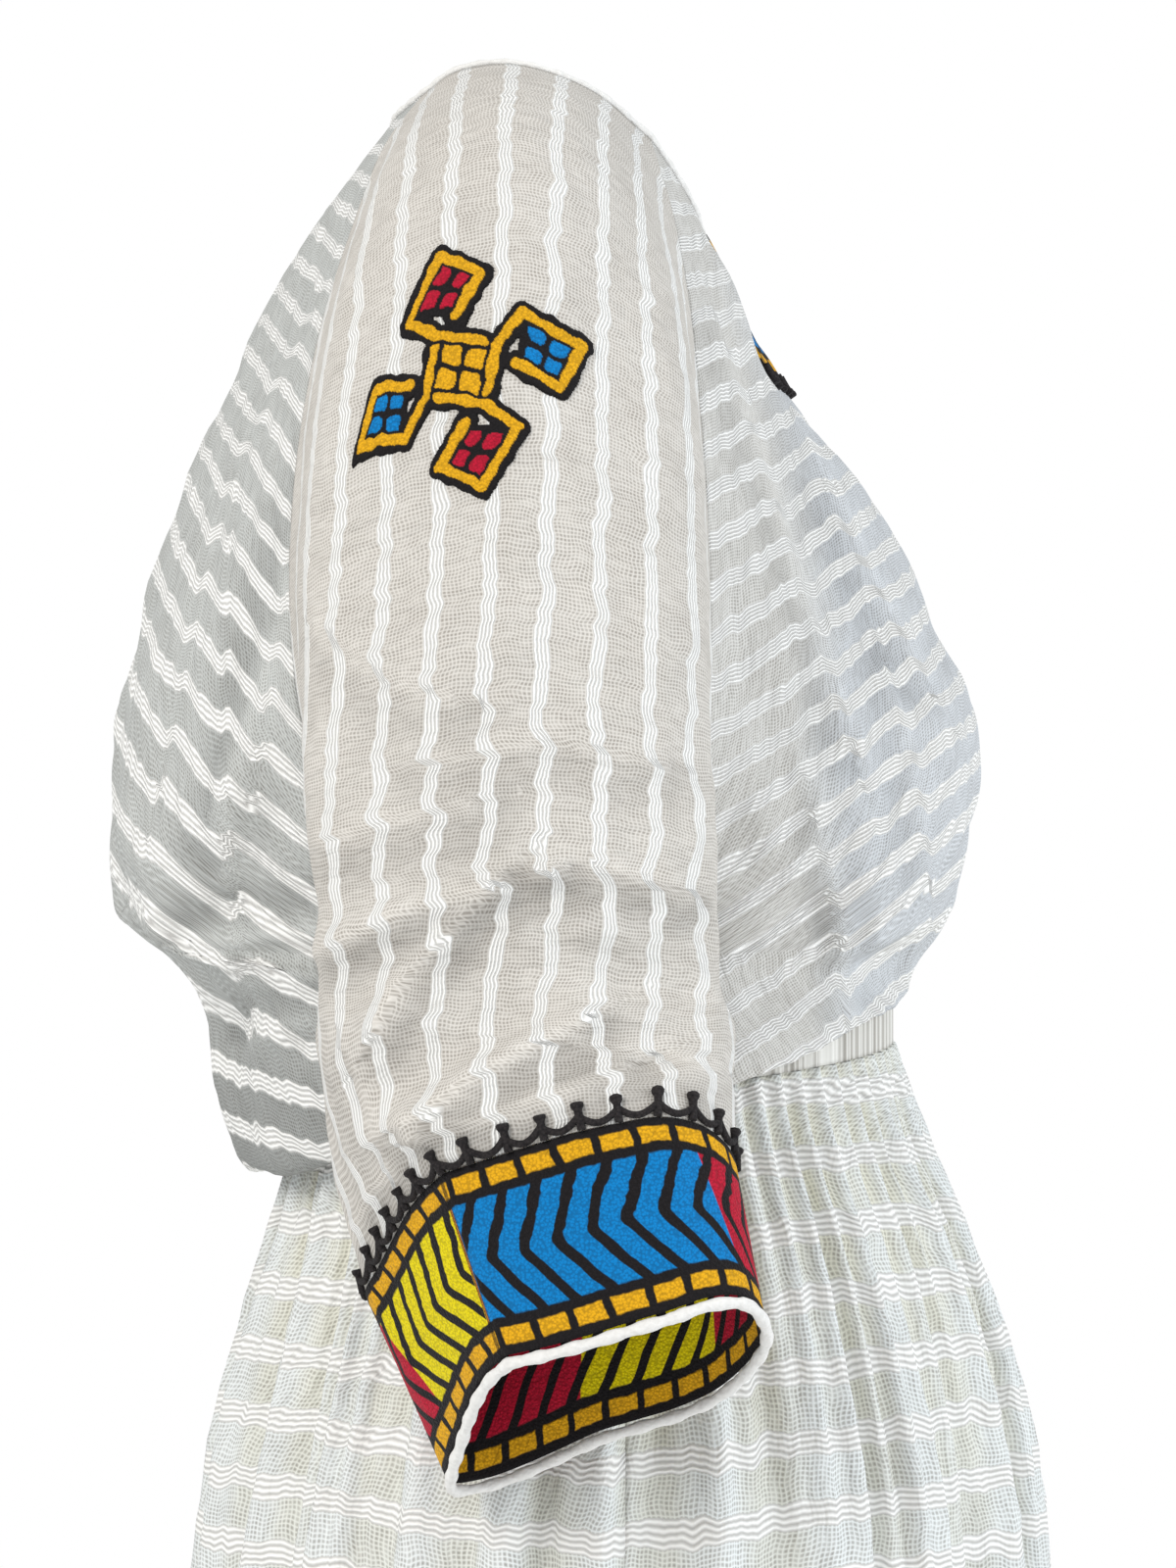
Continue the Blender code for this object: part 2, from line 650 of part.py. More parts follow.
def bodice(cloth):
    """The front, the back and the two sleeves, whose walls meet edge to edge at their seams."""
    front = panel_grid(FRONT_SECTIONS, FRONT_SEAM, FRONT_LOWER, True)
    back = panel_grid(BACK_SECTIONS, BACK_SEAM, BACK_LOWER, False)
    right, left = sleeve_grid(RIGHT), sleeve_grid(LEFT)
    names = ["bodice_front", "bodice_back", "sleeve_right", "sleeve_left"]
    signs = [1, -1, -1, 1]
    grids = [front, back, right, left]
    rises = [blouson_rise(front), blouson_rise(back), crease_rise(right), crease_rise(left)]
    normals = joined_normals(list(zip(grids, signs)))
    grids = [g + n * rise[..., None] for g, n, rise in zip(grids, normals, rises)]
    underarm = len(refined(FRONT_SEAM)) - 1
    normals = joined_normals(list(zip(grids, signs)))
    lower = joined_normals([(grids[0], 1), (grids[1], -1)])
    lower += joined_normals([(grids[2], -1)]) + joined_normals([(grids[3], 1)])
    for upper, own in zip(normals, lower):
        upper[underarm:] = own[underarm:]
    made = {}
    for name, grid, normal, sign in zip(names, grids, normals, signs):
        inner = grid - normal * WALL
        last = underarm if "sleeve" in name else len(grid)
        outer, inner = drawn_in(grid, 0, last), drawn_in(inner, 0, last)
        if "sleeve" in name:
            for face in (outer, inner):
                face[underarm, [0, -1], 0] += SEAM_GAP * np.sign(face[underarm, 0, 0])
        made[name] = (shell(name, outer, inner, sign, cloth), outer, inner, normal)
    return made


def skirt(cloth):
    front, back = skirt_grid(True), skirt_grid(False)
    normals = joined_normals([(front, 1), (back, 1)])
    for name, grid, normal in zip(("skirt_front", "skirt_back"), (front, back), normals):
        inner = drawn_in(grid - normal * WALL, 0, len(grid))
        shell(name, drawn_in(grid, 0, len(grid)), inner, 1, cloth)


def neck_line(made):
    """The middle of the cloth's edge all round the neck, with the points one row further down."""
    lines = []
    for row in (0, 1):
        loops = []
        for name in ("bodice_front", "sleeve_left", "bodice_back", "sleeve_right"):
            _, outer, inner, _ = made[name]
            line = (outer[row] + inner[row]) / 2
            loops.append(line[::-1] if name in ("bodice_back", "sleeve_right") else line)
        front, left, back, right = loops
        lines.append(np.vstack([front, left[1:-1], back, right[1:-1]])[::2])
    return lines


def beyond(edge, inner, reach):
    step = edge - inner
    return edge + step * (reach / np.linalg.norm(step, axis=1, keepdims=True))


def main():
    clear_scene()
    cloth = material("cotton", (0.86, 0.85, 0.82), 0.9)
    edge = material("rolled_cotton", (0.90, 0.89, 0.86), 0.9)
    stitched = material("embroidery", (0.05, 0.045, 0.045), 0.8)

    made = bodice(cloth)
    skirt(cloth)
    wall("waist_casing", band_grid(), 1, BAND_WALL, cloth)
    roll("neck_roll", beyond(*neck_line(made), NECK_ROLL_RADIUS + ROLL_CLEAR), NECK_ROLL_RADIUS, edge)

    for side, label in ((LEFT, "left"), (RIGHT, "right")):
        cross_on("cross_" + label, made["sleeve_" + label][0], side, stitched)
        cuff = cuff_grid(side)
        inner = cuff - joined_normals([(cuff, side)])[0] * CUFF_WALL
        shell("cuff_" + label, cuff, inner, side, stitched)
        middle = (cuff + inner)[:, :-1] / 2
        line = beyond(middle[-1], middle[-2], CUFF_ROLL_RADIUS + ROLL_CLEAR)
        roll("cuff_hem_" + label, line, CUFF_ROLL_RADIUS, edge)

    _, outer, _, normal = made["bodice_front"]
    centre = PANEL_COLUMNS // 2
    part = np.s_[: BIB_ROWS + 1, centre - BIB_HALF_COLUMNS: centre + BIB_HALF_COLUMNS + 1]
    under = outer[part] + normal[part] * BIB_LIFT
    shell("neck_bib", under + normal[part] * BIB_THICK, under, 1, stitched)


main()
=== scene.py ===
"""The looks of a habesha kemis: white hand-woven cotton with rib stripes and embroidered cuffs.

Metres, +Z up, the wearer facing -Y. The tables and the functions that turn them into grids of points
repeat the solids' own; each cloth piece here is a finer grid through the same points, with more folds.
"""

import math
from collections import defaultdict, namedtuple

import bpy
import numpy as np
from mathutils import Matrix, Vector
from mathutils.bvhtree import BVHTree


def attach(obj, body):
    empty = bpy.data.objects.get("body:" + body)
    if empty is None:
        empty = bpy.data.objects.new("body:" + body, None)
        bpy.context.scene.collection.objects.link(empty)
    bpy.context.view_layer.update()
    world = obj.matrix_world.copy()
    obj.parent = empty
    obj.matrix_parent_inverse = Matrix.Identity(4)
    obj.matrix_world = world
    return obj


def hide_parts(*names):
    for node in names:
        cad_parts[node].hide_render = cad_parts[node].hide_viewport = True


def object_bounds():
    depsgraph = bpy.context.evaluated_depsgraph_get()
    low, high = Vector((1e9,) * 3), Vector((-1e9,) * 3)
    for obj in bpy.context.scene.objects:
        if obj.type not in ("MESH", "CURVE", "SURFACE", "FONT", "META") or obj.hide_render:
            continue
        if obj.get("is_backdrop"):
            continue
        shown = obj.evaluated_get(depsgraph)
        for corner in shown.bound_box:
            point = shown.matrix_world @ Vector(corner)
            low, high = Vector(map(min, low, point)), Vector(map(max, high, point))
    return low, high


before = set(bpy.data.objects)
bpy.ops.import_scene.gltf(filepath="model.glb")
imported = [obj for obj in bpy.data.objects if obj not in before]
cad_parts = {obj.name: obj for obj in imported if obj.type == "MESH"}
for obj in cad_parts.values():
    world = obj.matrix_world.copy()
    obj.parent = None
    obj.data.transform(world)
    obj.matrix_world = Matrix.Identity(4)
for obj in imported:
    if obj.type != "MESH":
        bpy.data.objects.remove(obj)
cad_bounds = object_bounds()

FULL_TURN = 2 * math.pi
SEAM_GAP = 0.0003
BEND_LIMIT = 0.6
RIGHT, LEFT = -1, 1

# Columns of quads round each piece.
PANEL_COLUMNS = 32
SLEEVE_COLUMNS = 24
GATHERS = 72
SKIRT_COLUMNS = GATHERS

# The waist casing: an ellipse, tipped so that the back is lower than the front.
WAIST_Y = -0.036
WAIST_HALF_DEPTH = 0.1195
WAIST_HALF_WIDTH = 0.150
WAIST_Z = -0.413
WAIST_TIP = 0.011
BAND_HEIGHT = 0.018
BAND_GROW = 0.0010
BAND_RUFFLE = 0.0010

# Seam points where a sleeve meets the front and the back, from the neck down to the underarm.
Seam = namedtuple("Seam", "out y z")
FRONT_SEAM = [
    Seam(0.056, -0.052, -0.038),
    Seam(0.090, -0.060, -0.072),
    Seam(0.122, -0.066, -0.112),
    Seam(0.146, -0.070, -0.160),
    Seam(0.158, -0.073, -0.212),
    Seam(0.164, -0.073, -0.262),
    Seam(0.168, -0.064, -0.310),
    Seam(0.170, -0.040, -0.350),
    Seam(0.168, 0.002, -0.378),
]
BACK_SEAM = [
    Seam(0.060, 0.044, -0.020),
    Seam(0.088, 0.058, -0.045),
    Seam(0.122, 0.070, -0.085),
    Seam(0.152, 0.082, -0.135),
    Seam(0.168, 0.090, -0.195),
    Seam(0.174, 0.090, -0.255),
    Seam(0.174, 0.078, -0.310),
    Seam(0.172, 0.046, -0.350),
    Seam(0.168, 0.002, -0.378),
]
UNDERARM_ROW = len(FRONT_SEAM) - 1

# The rows between which each of these tables gets a middle row, near the underarm.
REFINE_FROM, REFINE_TO = 5, UNDERARM_ROW

# Sections of a body panel: the centre, a point half way and one near the side. The seam ends it.
Section = namedtuple("Section", "centre_y centre_z mid_out mid_y mid_z side_out side_y side_z")
FRONT_SECTIONS = [
    Section(-0.078, -0.085, 0.028, -0.073, -0.068, 0.044, -0.063, -0.052),
    Section(-0.089, -0.107, 0.034, -0.085, -0.097, 0.064, -0.076, -0.085),
    Section(-0.107, -0.134, 0.040, -0.100, -0.130, 0.078, -0.090, -0.122),
    Section(-0.130, -0.163, 0.042, -0.124, -0.163, 0.082, -0.106, -0.162),
    Section(-0.156, -0.203, 0.046, -0.149, -0.205, 0.086, -0.121, -0.208),
    Section(-0.179, -0.243, 0.052, -0.168, -0.247, 0.096, -0.136, -0.253),
    Section(-0.194, -0.287, 0.058, -0.183, -0.290, 0.106, -0.150, -0.298),
    Section(-0.191, -0.330, 0.060, -0.181, -0.335, 0.114, -0.147, -0.341),
    Section(-0.181, -0.360, 0.062, -0.172, -0.366, 0.120, -0.134, -0.374),
]
BACK_SECTIONS = [
    Section(0.060, -0.028, 0.028, 0.058, -0.026, 0.046, 0.051, -0.023),
    Section(0.080, -0.054, 0.034, 0.077, -0.054, 0.064, 0.068, -0.050),
    Section(0.105, -0.090, 0.045, 0.102, -0.091, 0.088, 0.087, -0.090),
    Section(0.127, -0.137, 0.052, 0.124, -0.139, 0.106, 0.105, -0.140),
    Section(0.150, -0.188, 0.056, 0.146, -0.191, 0.116, 0.123, -0.195),
    Section(0.167, -0.242, 0.058, 0.162, -0.246, 0.120, 0.138, -0.252),
    Section(0.176, -0.296, 0.060, 0.171, -0.300, 0.122, 0.146, -0.306),
    Section(0.180, -0.336, 0.060, 0.174, -0.340, 0.122, 0.144, -0.347),
    Section(0.175, -0.360, 0.060, 0.169, -0.365, 0.122, 0.134, -0.374),
]

# The rows of a panel below the underarm: down the blouson, round its lower edge and in under it to
# the casing. Each tells how far the row lies out from the waist ellipse and below it, at the side
# seam and at the panel's centre, and how far back the side seam is there.
Lower = namedtuple("Lower", "side_back side_grow side_drop centre_grow centre_drop")
FRONT_LOWER = [
    Lower(0.033, 0.0200, -0.0220, 0.0125, -0.0190),
    Lower(0.025, 0.0205, -0.0080, 0.0085, -0.0120),
    Lower(0.014, 0.0200, 0.0080, 0.0070, -0.0080),
    Lower(0.004, 0.0160, 0.0250, 0.0058, -0.0048),
    Lower(0.0, 0.0080, 0.0170, 0.0036, -0.0034),
    Lower(0.0, 0.0040, -0.0016, 0.0020, -0.0020),
    Lower(0.0, 0.0, -SEAM_GAP, 0.0, -SEAM_GAP),
]
BACK_LOWER = [
    Lower(0.033, 0.0200, -0.0220, 0.0725, -0.0450),
    Lower(0.025, 0.0205, -0.0080, 0.0565, -0.0240),
    Lower(0.014, 0.0200, 0.0080, 0.0505, 0.0160),
    Lower(0.004, 0.0160, 0.0250, 0.0345, 0.0495),
    Lower(0.0, 0.0080, 0.0170, 0.0205, 0.0330),
    Lower(0.0, 0.0040, -0.0016, 0.0065, -0.0016),
    Lower(0.0, 0.0, -SEAM_GAP, 0.0, -SEAM_GAP),
]

# Sleeve sections from the neck to the underarm: the front corner, the outermost line, the back one.
Arc = namedtuple("Arc", "front_out front_y front_z out y z back_out back_y back_z")
SLEEVE_ARCS = [
    Arc(0.077, -0.027, -0.021, 0.086, 0.003, -0.012, 0.078, 0.028, -0.013),
    Arc(0.118, -0.034, -0.040, 0.130, 0.002, -0.026, 0.118, 0.038, -0.034),
    Arc(0.156, -0.046, -0.076, 0.174, 0.002, -0.050, 0.158, 0.050, -0.066),
    Arc(0.190, -0.056, -0.125, 0.212, 0.002, -0.098, 0.194, 0.062, -0.118),
    Arc(0.210, -0.062, -0.185, 0.235, 0.001, -0.160, 0.214, 0.070, -0.180),
    Arc(0.222, -0.066, -0.245, 0.248, 0.000, -0.225, 0.226, 0.074, -0.243),
    Arc(0.230, -0.070, -0.300, 0.257, -0.003, -0.285, 0.234, 0.076, -0.300),
    Arc(0.232, -0.073, -0.345, 0.263, -0.004, -0.335, 0.236, 0.076, -0.345),
    Arc(0.228, -0.076, -0.383, 0.268, -0.005, -0.375, 0.232, 0.077, -0.385),
]

# Closed sections of the lower sleeve and the cuff. half_long runs back to front and half_short
# from the body outwards; the front edge is lifted by rise and the outer edge by tilt, in degrees.
Ring = namedtuple("Ring", "out y z half_long half_short rise tilt bent")
SLEEVE_RINGS = [
    Ring(0.2230, -0.001, -0.402, 0.079, 0.0485, 2, 7, 0.12),
    Ring(0.2275, -0.002, -0.415, 0.079, 0.0475, 5, 11, 0.25),
    Ring(0.2325, -0.003, -0.428, 0.078, 0.0470, 8, 14, 0.42),
    Ring(0.2380, -0.005, -0.442, 0.077, 0.0475, 13, 17, 0.62),
    Ring(0.2440, -0.008, -0.457, 0.075, 0.0485, 17, 20, 0.82),
]
PLAIN_EDGE = Ring(0.250, -0.011, -0.4706, 0.0735, 0.049, 20, 23, 1.0)
RING_SQUARENESS = 2.4

# The cuff's edges, from the inner side by the front and the outer side to the ridge where the cuff
# bends, and on round the back. The sleeve's rings share in how its upper edge departs from a plain one.
Edge = namedtuple("Edge", "out y z")
CUFF_TOP = [
    Edge(0.206, -0.0120, -0.4860),
    Edge(0.222, -0.0560, -0.4720),
    Edge(0.262, -0.0795, -0.4490),
    Edge(0.290, -0.0610, -0.4290),
    Edge(0.297, -0.0280, -0.4315),
    Edge(0.291, 0.0050, -0.4415),
    Edge(0.281, 0.0265, -0.4490),
    Edge(0.262, 0.0385, -0.4620),
    Edge(0.235, 0.0505, -0.4845),
    Edge(0.206, 0.0595, -0.5065),
    Edge(0.196, 0.0360, -0.5040),
]
CUFF_BOTTOM = [
    Edge(0.214, -0.0300, -0.5540),
    Edge(0.226, -0.0710, -0.5380),
    Edge(0.260, -0.0905, -0.5110),
    Edge(0.287, -0.0790, -0.4925),
    Edge(0.297, -0.0500, -0.4985),
    Edge(0.293, -0.0170, -0.5090),
    Edge(0.285, 0.0040, -0.5150),
    Edge(0.268, 0.0140, -0.5270),
    Edge(0.240, 0.0225, -0.5500),
    Edge(0.211, 0.0270, -0.5740),
    Edge(0.203, 0.0050, -0.5710),
]
RIDGE = 6
RIDGE_COLUMN = 14
CUFF_HEIGHT = 0.070
CUFF_GAP = 0.0004

# Creases that cross the lower sleeve, each from start to middle to end in the plane seen from the
# side, with its half breadth and how far it stands out. On the body's side they all sink in.
Crease = namedtuple("Crease", "y1 z1 y2 z2 y3 z3 breadth rise")
INNER_SINK = 0.6
CREASES = [
    Crease(0.067, -0.369, 0.006, -0.345, -0.066, -0.353, 0.011, 0.0055),
    Crease(0.051, -0.406, 0.033, -0.377, 0.004, -0.363, 0.008, 0.0045),
    Crease(0.062, -0.388, 0.000, -0.372, -0.060, -0.380, 0.009, -0.0040),
    Crease(0.038, -0.438, 0.010, -0.411, -0.030, -0.392, 0.010, 0.0060),
    Crease(0.050, -0.425, 0.010, -0.395, -0.050, -0.405, 0.008, -0.0040),
    Crease(0.050, -0.440, 0.000, -0.432, -0.060, -0.425, 0.012, 0.0050),
]

# Upright folds of the blouson: how many each panel has, how far they stand, where they start.
BLOUSON_FOLDS = 7
BLOUSON_RISE = 0.0030
BLOUSON_TROUGH = -0.2
BLOUSON_FIRST_ROW = 4
LEVEL_ROWS = 4

# Skirt sections: the outline's half sizes at a height, and how deep folds and gathers run there.
Level = namedtuple("Level", "z centre_y half_depth half_width fold gather")
SKIRT_LEVELS = [
    Level(None, WAIST_Y, 0.1210, 0.1515, 0.0004, 0.0018),
    Level(-0.449, -0.0365, 0.1290, 0.1600, 0.0035, 0.0030),
    Level(-0.500, -0.0390, 0.1500, 0.1760, 0.0070, 0.0024),
    Level(-0.575, -0.0400, 0.1740, 0.1980, 0.0115, 0.0012),
    Level(-0.680, -0.0385, 0.1905, 0.2190, 0.0160, 0.0),
    Level(-0.850, -0.0390, 0.2230, 0.2510, 0.0200, 0.0),
    Level(-1.080, -0.0400, 0.2625, 0.2870, 0.0250, 0.0),
    Level(-1.340, -0.0400, 0.2940, 0.3190, 0.0300, 0.0),
]
SKIRT_FOLDS = 24

# Rolled edges of the neck and the cuffs.
NECK_ROLL_RADIUS = 0.0016
CUFF_ROLL_RADIUS = 0.0023
ROLL_CLEAR = 0.0008

# The embroidered cross on each sleeve, seen from the side: across to the wearer's front, and up.
CROSS_Y = 0.0222
CROSS_Z = -0.1527
# The back arm lies where the sleeve curves away, so it's drawn in and hangs lower.
CROSS_SAG = 10.4
CROSS_SQUEEZE = 3.6

# The embroidered bib under the front of the neck: rows and columns of the front's own points.
BIB_ROWS = 2
BIB_HALF_COLUMNS = 5
BIB_LIFT = 0.0005
BIB_THICK = 0.0010


# Curves through table points

def through(points, count):
    """A smooth line through the points, read at count evenly spaced places between its ends."""
    points = np.array(points, float)
    ends = np.vstack([2 * points[0] - points[1], points, 2 * points[-1] - points[-2]])
    fine = []
    steps = np.linspace(0, 1, 24, endpoint=False)[:, None]
    for a, b, c, d in zip(ends, ends[1:], ends[2:], ends[3:]):
        cubic = (3 * b - a - 3 * c + d) * steps ** 3
        square = (2 * a - 5 * b + 4 * c - d) * steps ** 2
        fine.append(b + 0.5 * ((c - a) * steps + square + cubic))
    line = np.vstack(fine + [points[-1:]])
    along = np.concatenate([[0], np.cumsum(np.linalg.norm(np.diff(line, axis=0), axis=1))])
    at = np.linspace(0, along[-1], count)
    return np.stack([np.interp(at, along, line[:, k]) for k in range(3)], axis=1)


def placed(side, out, y, z):
    return (side * out, y, z)


def refined(table):
    """The table with a row put in between each two from REFINE_FROM to REFINE_TO, on a curve."""
    rows = []
    for n, row in enumerate(table):
        rows.append(row)
        if REFINE_FROM <= n < REFINE_TO:
            before, after, last = table[n - 1], table[n + 1], table[min(n + 2, len(table) - 1)]
            rows.append(type(row)(*[
                (9 * (b + c) - a - d) / 16 for a, b, c, d in zip(before, row, after, last)
            ]))
    return rows


# The underarm's row in the grids of the panels and the sleeves.
UNDERARM = len(refined(FRONT_SEAM)) - 1


# The waist

def waist_point(turn, grow=0.0, drop=0.0):
    """A point of the waist ellipse. turn is 0 at the wearer's right, a quarter at the front."""
    angle = FULL_TURN * turn
    x = -(WAIST_HALF_WIDTH + grow) * math.cos(angle)
    y = WAIST_Y - (WAIST_HALF_DEPTH + grow) * math.sin(angle)
    z = WAIST_Z + WAIST_TIP * math.sin(angle) - drop
    return (x, y, z)


# The body panels

def panel_row(sections, row, seams):
    """The points of one section, from the wearer's right seam round to the left one."""
    part = sections[row]
    half = [
        placed(RIGHT, *seams[row]),
        placed(RIGHT, part.side_out, part.side_y, part.side_z),
        placed(RIGHT, part.mid_out, part.mid_y, part.mid_z),
    ]
    middle = [(0.0, part.centre_y, part.centre_z)]
    other = [(-x, y, z) for x, y, z in reversed(half)]
    return through(half + middle + other, PANEL_COLUMNS + 1)


def lower_row(row, front):
    """One row of a panel below the underarm."""
    line = []
    for turn in np.linspace(0, 0.5, PANEL_COLUMNS + 1):
        share = abs(math.sin(FULL_TURN * turn)) ** 1.5
        grow = row.side_grow + (row.centre_grow - row.side_grow) * share
        drop = row.side_drop + (row.centre_drop - row.side_drop) * share
        x, y, z = waist_point(turn if front else -turn, grow, drop)
        line.append((x, y + row.side_back * (1 - share), z))
    return line


def panel_grid(sections, seams, lower, front):
    sections, seams = refined(sections), refined(seams)
    rows = [panel_row(sections, row, seams) for row in range(len(sections))]
    return np.array(rows + [lower_row(row, front) for row in lower])


def blouson_rise(grid):
    """How far each point of a panel moves out for the upright folds."""
    rows, columns = grid.shape[:2]
    across = np.arange(columns) / (columns - 1)
    down = np.arange(rows) - BLOUSON_FIRST_ROW
    last = rows - LEVEL_ROWS - 2 - BLOUSON_FIRST_ROW
    grown = np.clip(down / last, 0, 1) ** 1.5
    grown[-LEVEL_ROWS:] = 0
    waves = np.sin(FULL_TURN * (BLOUSON_FOLDS + 0.5) * across + 0.9 * np.sin(5 * across))
    waves = np.maximum(waves, BLOUSON_TROUGH) * np.sin(math.pi * across) ** 0.5
    return BLOUSON_RISE * grown[:, None] * waves


# The sleeves and cuffs

def distance_to_line(spots, start, end):
    along = end - start
    share = np.clip(((spots - start) @ along) / (along @ along), 0, 1)
    return np.linalg.norm(spots - start - share[..., None] * along, axis=-1)


def to_polyline(spots, line):
    """Distance from each flat spot to a line of points."""
    nearest = np.full(spots.shape[:-1], np.inf)
    for start, end in zip(line[:-1], line[1:]):
        nearest = np.minimum(nearest, distance_to_line(spots, np.array(start), np.array(end)))
    return nearest


def crease_line(crease):
    """A crease's start, middle and end, seen from the side."""
    return [np.array(crease[k: k + 2]) for k in (0, 2, 4)]


def crease_rise(grid):
    """How far each point of a sleeve moves out for the creases above the cuff."""
    spots = grid[..., 1:]
    rise = np.zeros(grid.shape[:2])
    for crease in CREASES:
        apart = to_polyline(spots, crease_line(crease))
        rise += crease.rise * np.exp(-((apart / crease.breadth) ** 2))
    columns = rise.shape[1]
    outside = 0.5 - 0.5 * np.cos(FULL_TURN * np.arange(columns) / (columns - 1))
    rise = rise * outside - INNER_SINK * abs(rise) * (1 - outside)
    rise[:UNDERARM + 1] *= np.sin(math.pi * np.arange(columns) / (columns - 1)) ** 0.5
    rise[-1] = 0
    return rise


def squared(value):
    return math.copysign(abs(value) ** (2 / RING_SQUARENESS), value)


def ring_points(ring, side, columns):
    """A closed section, from the inner side by the front, the outer side and the back."""
    rise, tilt = math.radians(ring.rise), math.radians(ring.tilt)
    centre = np.array([ring.out, ring.y, ring.z])
    forward = np.array([0.0, -math.cos(rise), math.sin(rise)])
    outward = np.array([math.cos(tilt), 0.0, math.sin(tilt)])
    points = []
    for step in range(columns + 1):
        angle = FULL_TURN * step / columns
        long = ring.half_long * squared(math.sin(angle))
        short = ring.half_short * squared(math.cos(angle))
        points.append(centre + forward * long - outward * short)
    points[-1] = points[0]
    points = through(points, columns + 1)
    points[-1] = points[0]
    points[:, 0] *= side
    return points


def edge_points(edge, side):
    """A closed line through a cuff edge's points, with a sharp bend and a column on the ridge."""
    spots = [placed(side, *spot) for spot in edge]
    before = through(spots[:RIDGE + 1], RIDGE_COLUMN + 1)
    after = through(spots[RIDGE:] + spots[:1], SLEEVE_COLUMNS - RIDGE_COLUMN + 1)
    return np.vstack([before[:-1], after])


def sleeve_grid(side):
    """Open rows from the neck to the underarm, then closed ones whose ends meet."""
    rows = []
    for arc, front, back in zip(refined(SLEEVE_ARCS), refined(FRONT_SEAM), refined(BACK_SEAM)):
        stations = [
            placed(side, *front),
            placed(side, arc.front_out, arc.front_y, arc.front_z),
            placed(side, arc.out, arc.y, arc.z),
            placed(side, arc.back_out, arc.back_y, arc.back_z),
            placed(side, *back),
        ]
        rows.append(through(stations, SLEEVE_COLUMNS + 1))
    edge = edge_points(CUFF_TOP, side)
    departure = edge - ring_points(PLAIN_EDGE, side, SLEEVE_COLUMNS)
    for ring in SLEEVE_RINGS:
        rows.append(ring_points(ring, side, SLEEVE_COLUMNS) + ring.bent * departure)
    return np.array(rows + [edge])


def cuff_grid(side):
    top, bottom = edge_points(CUFF_TOP, side), edge_points(CUFF_BOTTOM, side)
    return np.array([top + (bottom - top) * share for share in (CUFF_GAP / CUFF_HEIGHT, 0.5, 1.0)])


# The skirt

def fold_wave(turn):
    """The folds round the skirt, 0 in a trough and 1 on a crest, uneven in width and depth."""
    angle = FULL_TURN * turn
    warped = angle + 0.06 * math.sin(3 * angle + 0.8) + 0.035 * math.sin(7 * angle + 2.1)
    depth = 0.78 + 0.22 * math.sin(5 * angle + 1.3)
    return 1 - depth * (0.5 - 0.5 * math.cos(SKIRT_FOLDS * warped))


def skirt_point(level, turn, column):
    angle = FULL_TURN * turn
    gather = level.gather * (1 if column % 2 else -1)
    inset = level.fold * (1 - fold_wave(turn)) - gather
    x = -(level.half_width - inset) * math.cos(angle)
    y = level.centre_y - (level.half_depth - inset) * math.sin(angle)
    if level.z is None:
        z = WAIST_Z + WAIST_TIP * math.sin(angle) - BAND_HEIGHT - SEAM_GAP
    else:
        z = level.z
    return (x, y, z)


def skirt_grid(front):
    start = 0 if front else SKIRT_COLUMNS
    columns = range(start, start + SKIRT_COLUMNS + 1)
    return np.array([
        [skirt_point(level, column / (2 * SKIRT_COLUMNS), column) for column in columns]
        for level in SKIRT_LEVELS
    ])


def band_point(column, drop):
    ruffle = BAND_RUFFLE * (1 if column % 2 else -1)
    return waist_point(column / (2 * SKIRT_COLUMNS), BAND_GROW + ruffle, drop)


def band_grid():
    columns = range(2 * SKIRT_COLUMNS + 1)
    return np.array([[band_point(column, drop) for column in columns] for drop in (0.0, BAND_HEIGHT)])


# Normals

def key(point):
    return tuple(np.round(point, 6) + 0.0)


def joined_normals(grids):
    """For each (grid, sign), its outward normals, smooth across seams that two grids share.

    At a sharp bend a normal is longer, so that a wall set back along it keeps its thickness.
    """
    total = defaultdict(lambda: np.zeros(4))
    for grid, sign in grids:
        a, b, c, d = grid[:-1, :-1], grid[:-1, 1:], grid[1:, 1:], grid[1:, :-1]
        faces = sign * np.cross(d - b, c - a)
        faces /= np.linalg.norm(faces, axis=2, keepdims=True)
        for corner in (a, b, c, d):
            for point, normal in zip(corner.reshape(-1, 3), faces.reshape(-1, 3)):
                total[key(point)] += (*normal, 1.0)
    found = []
    for grid, _ in grids:
        sums = np.array([[total[key(point)] for point in row] for row in grid])
        mean = sums[..., :3] / sums[..., 3:]
        length = np.linalg.norm(mean, axis=2, keepdims=True)
        found.append(mean / length / np.maximum(length, BEND_LIMIT))
    return found


def turned(points, degrees):
    c, s = math.cos(math.radians(degrees)), math.sin(math.radians(degrees))
    return [(c * p - s * q, s * p + c * q) for p, q in points]


def draped(point):
    p, q = point
    back = min(p, 0.0)
    return (p + CROSS_SQUEEZE * back * back, q - CROSS_SAG * back * back)


def beyond(edge, inner, reach):
    step = edge - inner
    return edge + step * (reach / np.linalg.norm(step, axis=1, keepdims=True))


# Finer grids

FINE_DOWN, FINE_ACROSS = 8, 5
SLEEVE_ACROSS = 6
SKIRT_DOWN, SKIRT_ACROSS = 12, 3
CASING_DOWN, CASING_ACROSS = 8, 4
CUFF_DOWN, CUFF_ACROSS = 24, 8
SLEEVE_RIDGE_ROWS, CUFF_RIDGE_ROWS = 4, 2
CLOTH = 0.0007
CASING_CLOTH = 0.0018
RIDGE_REACH = 1.5


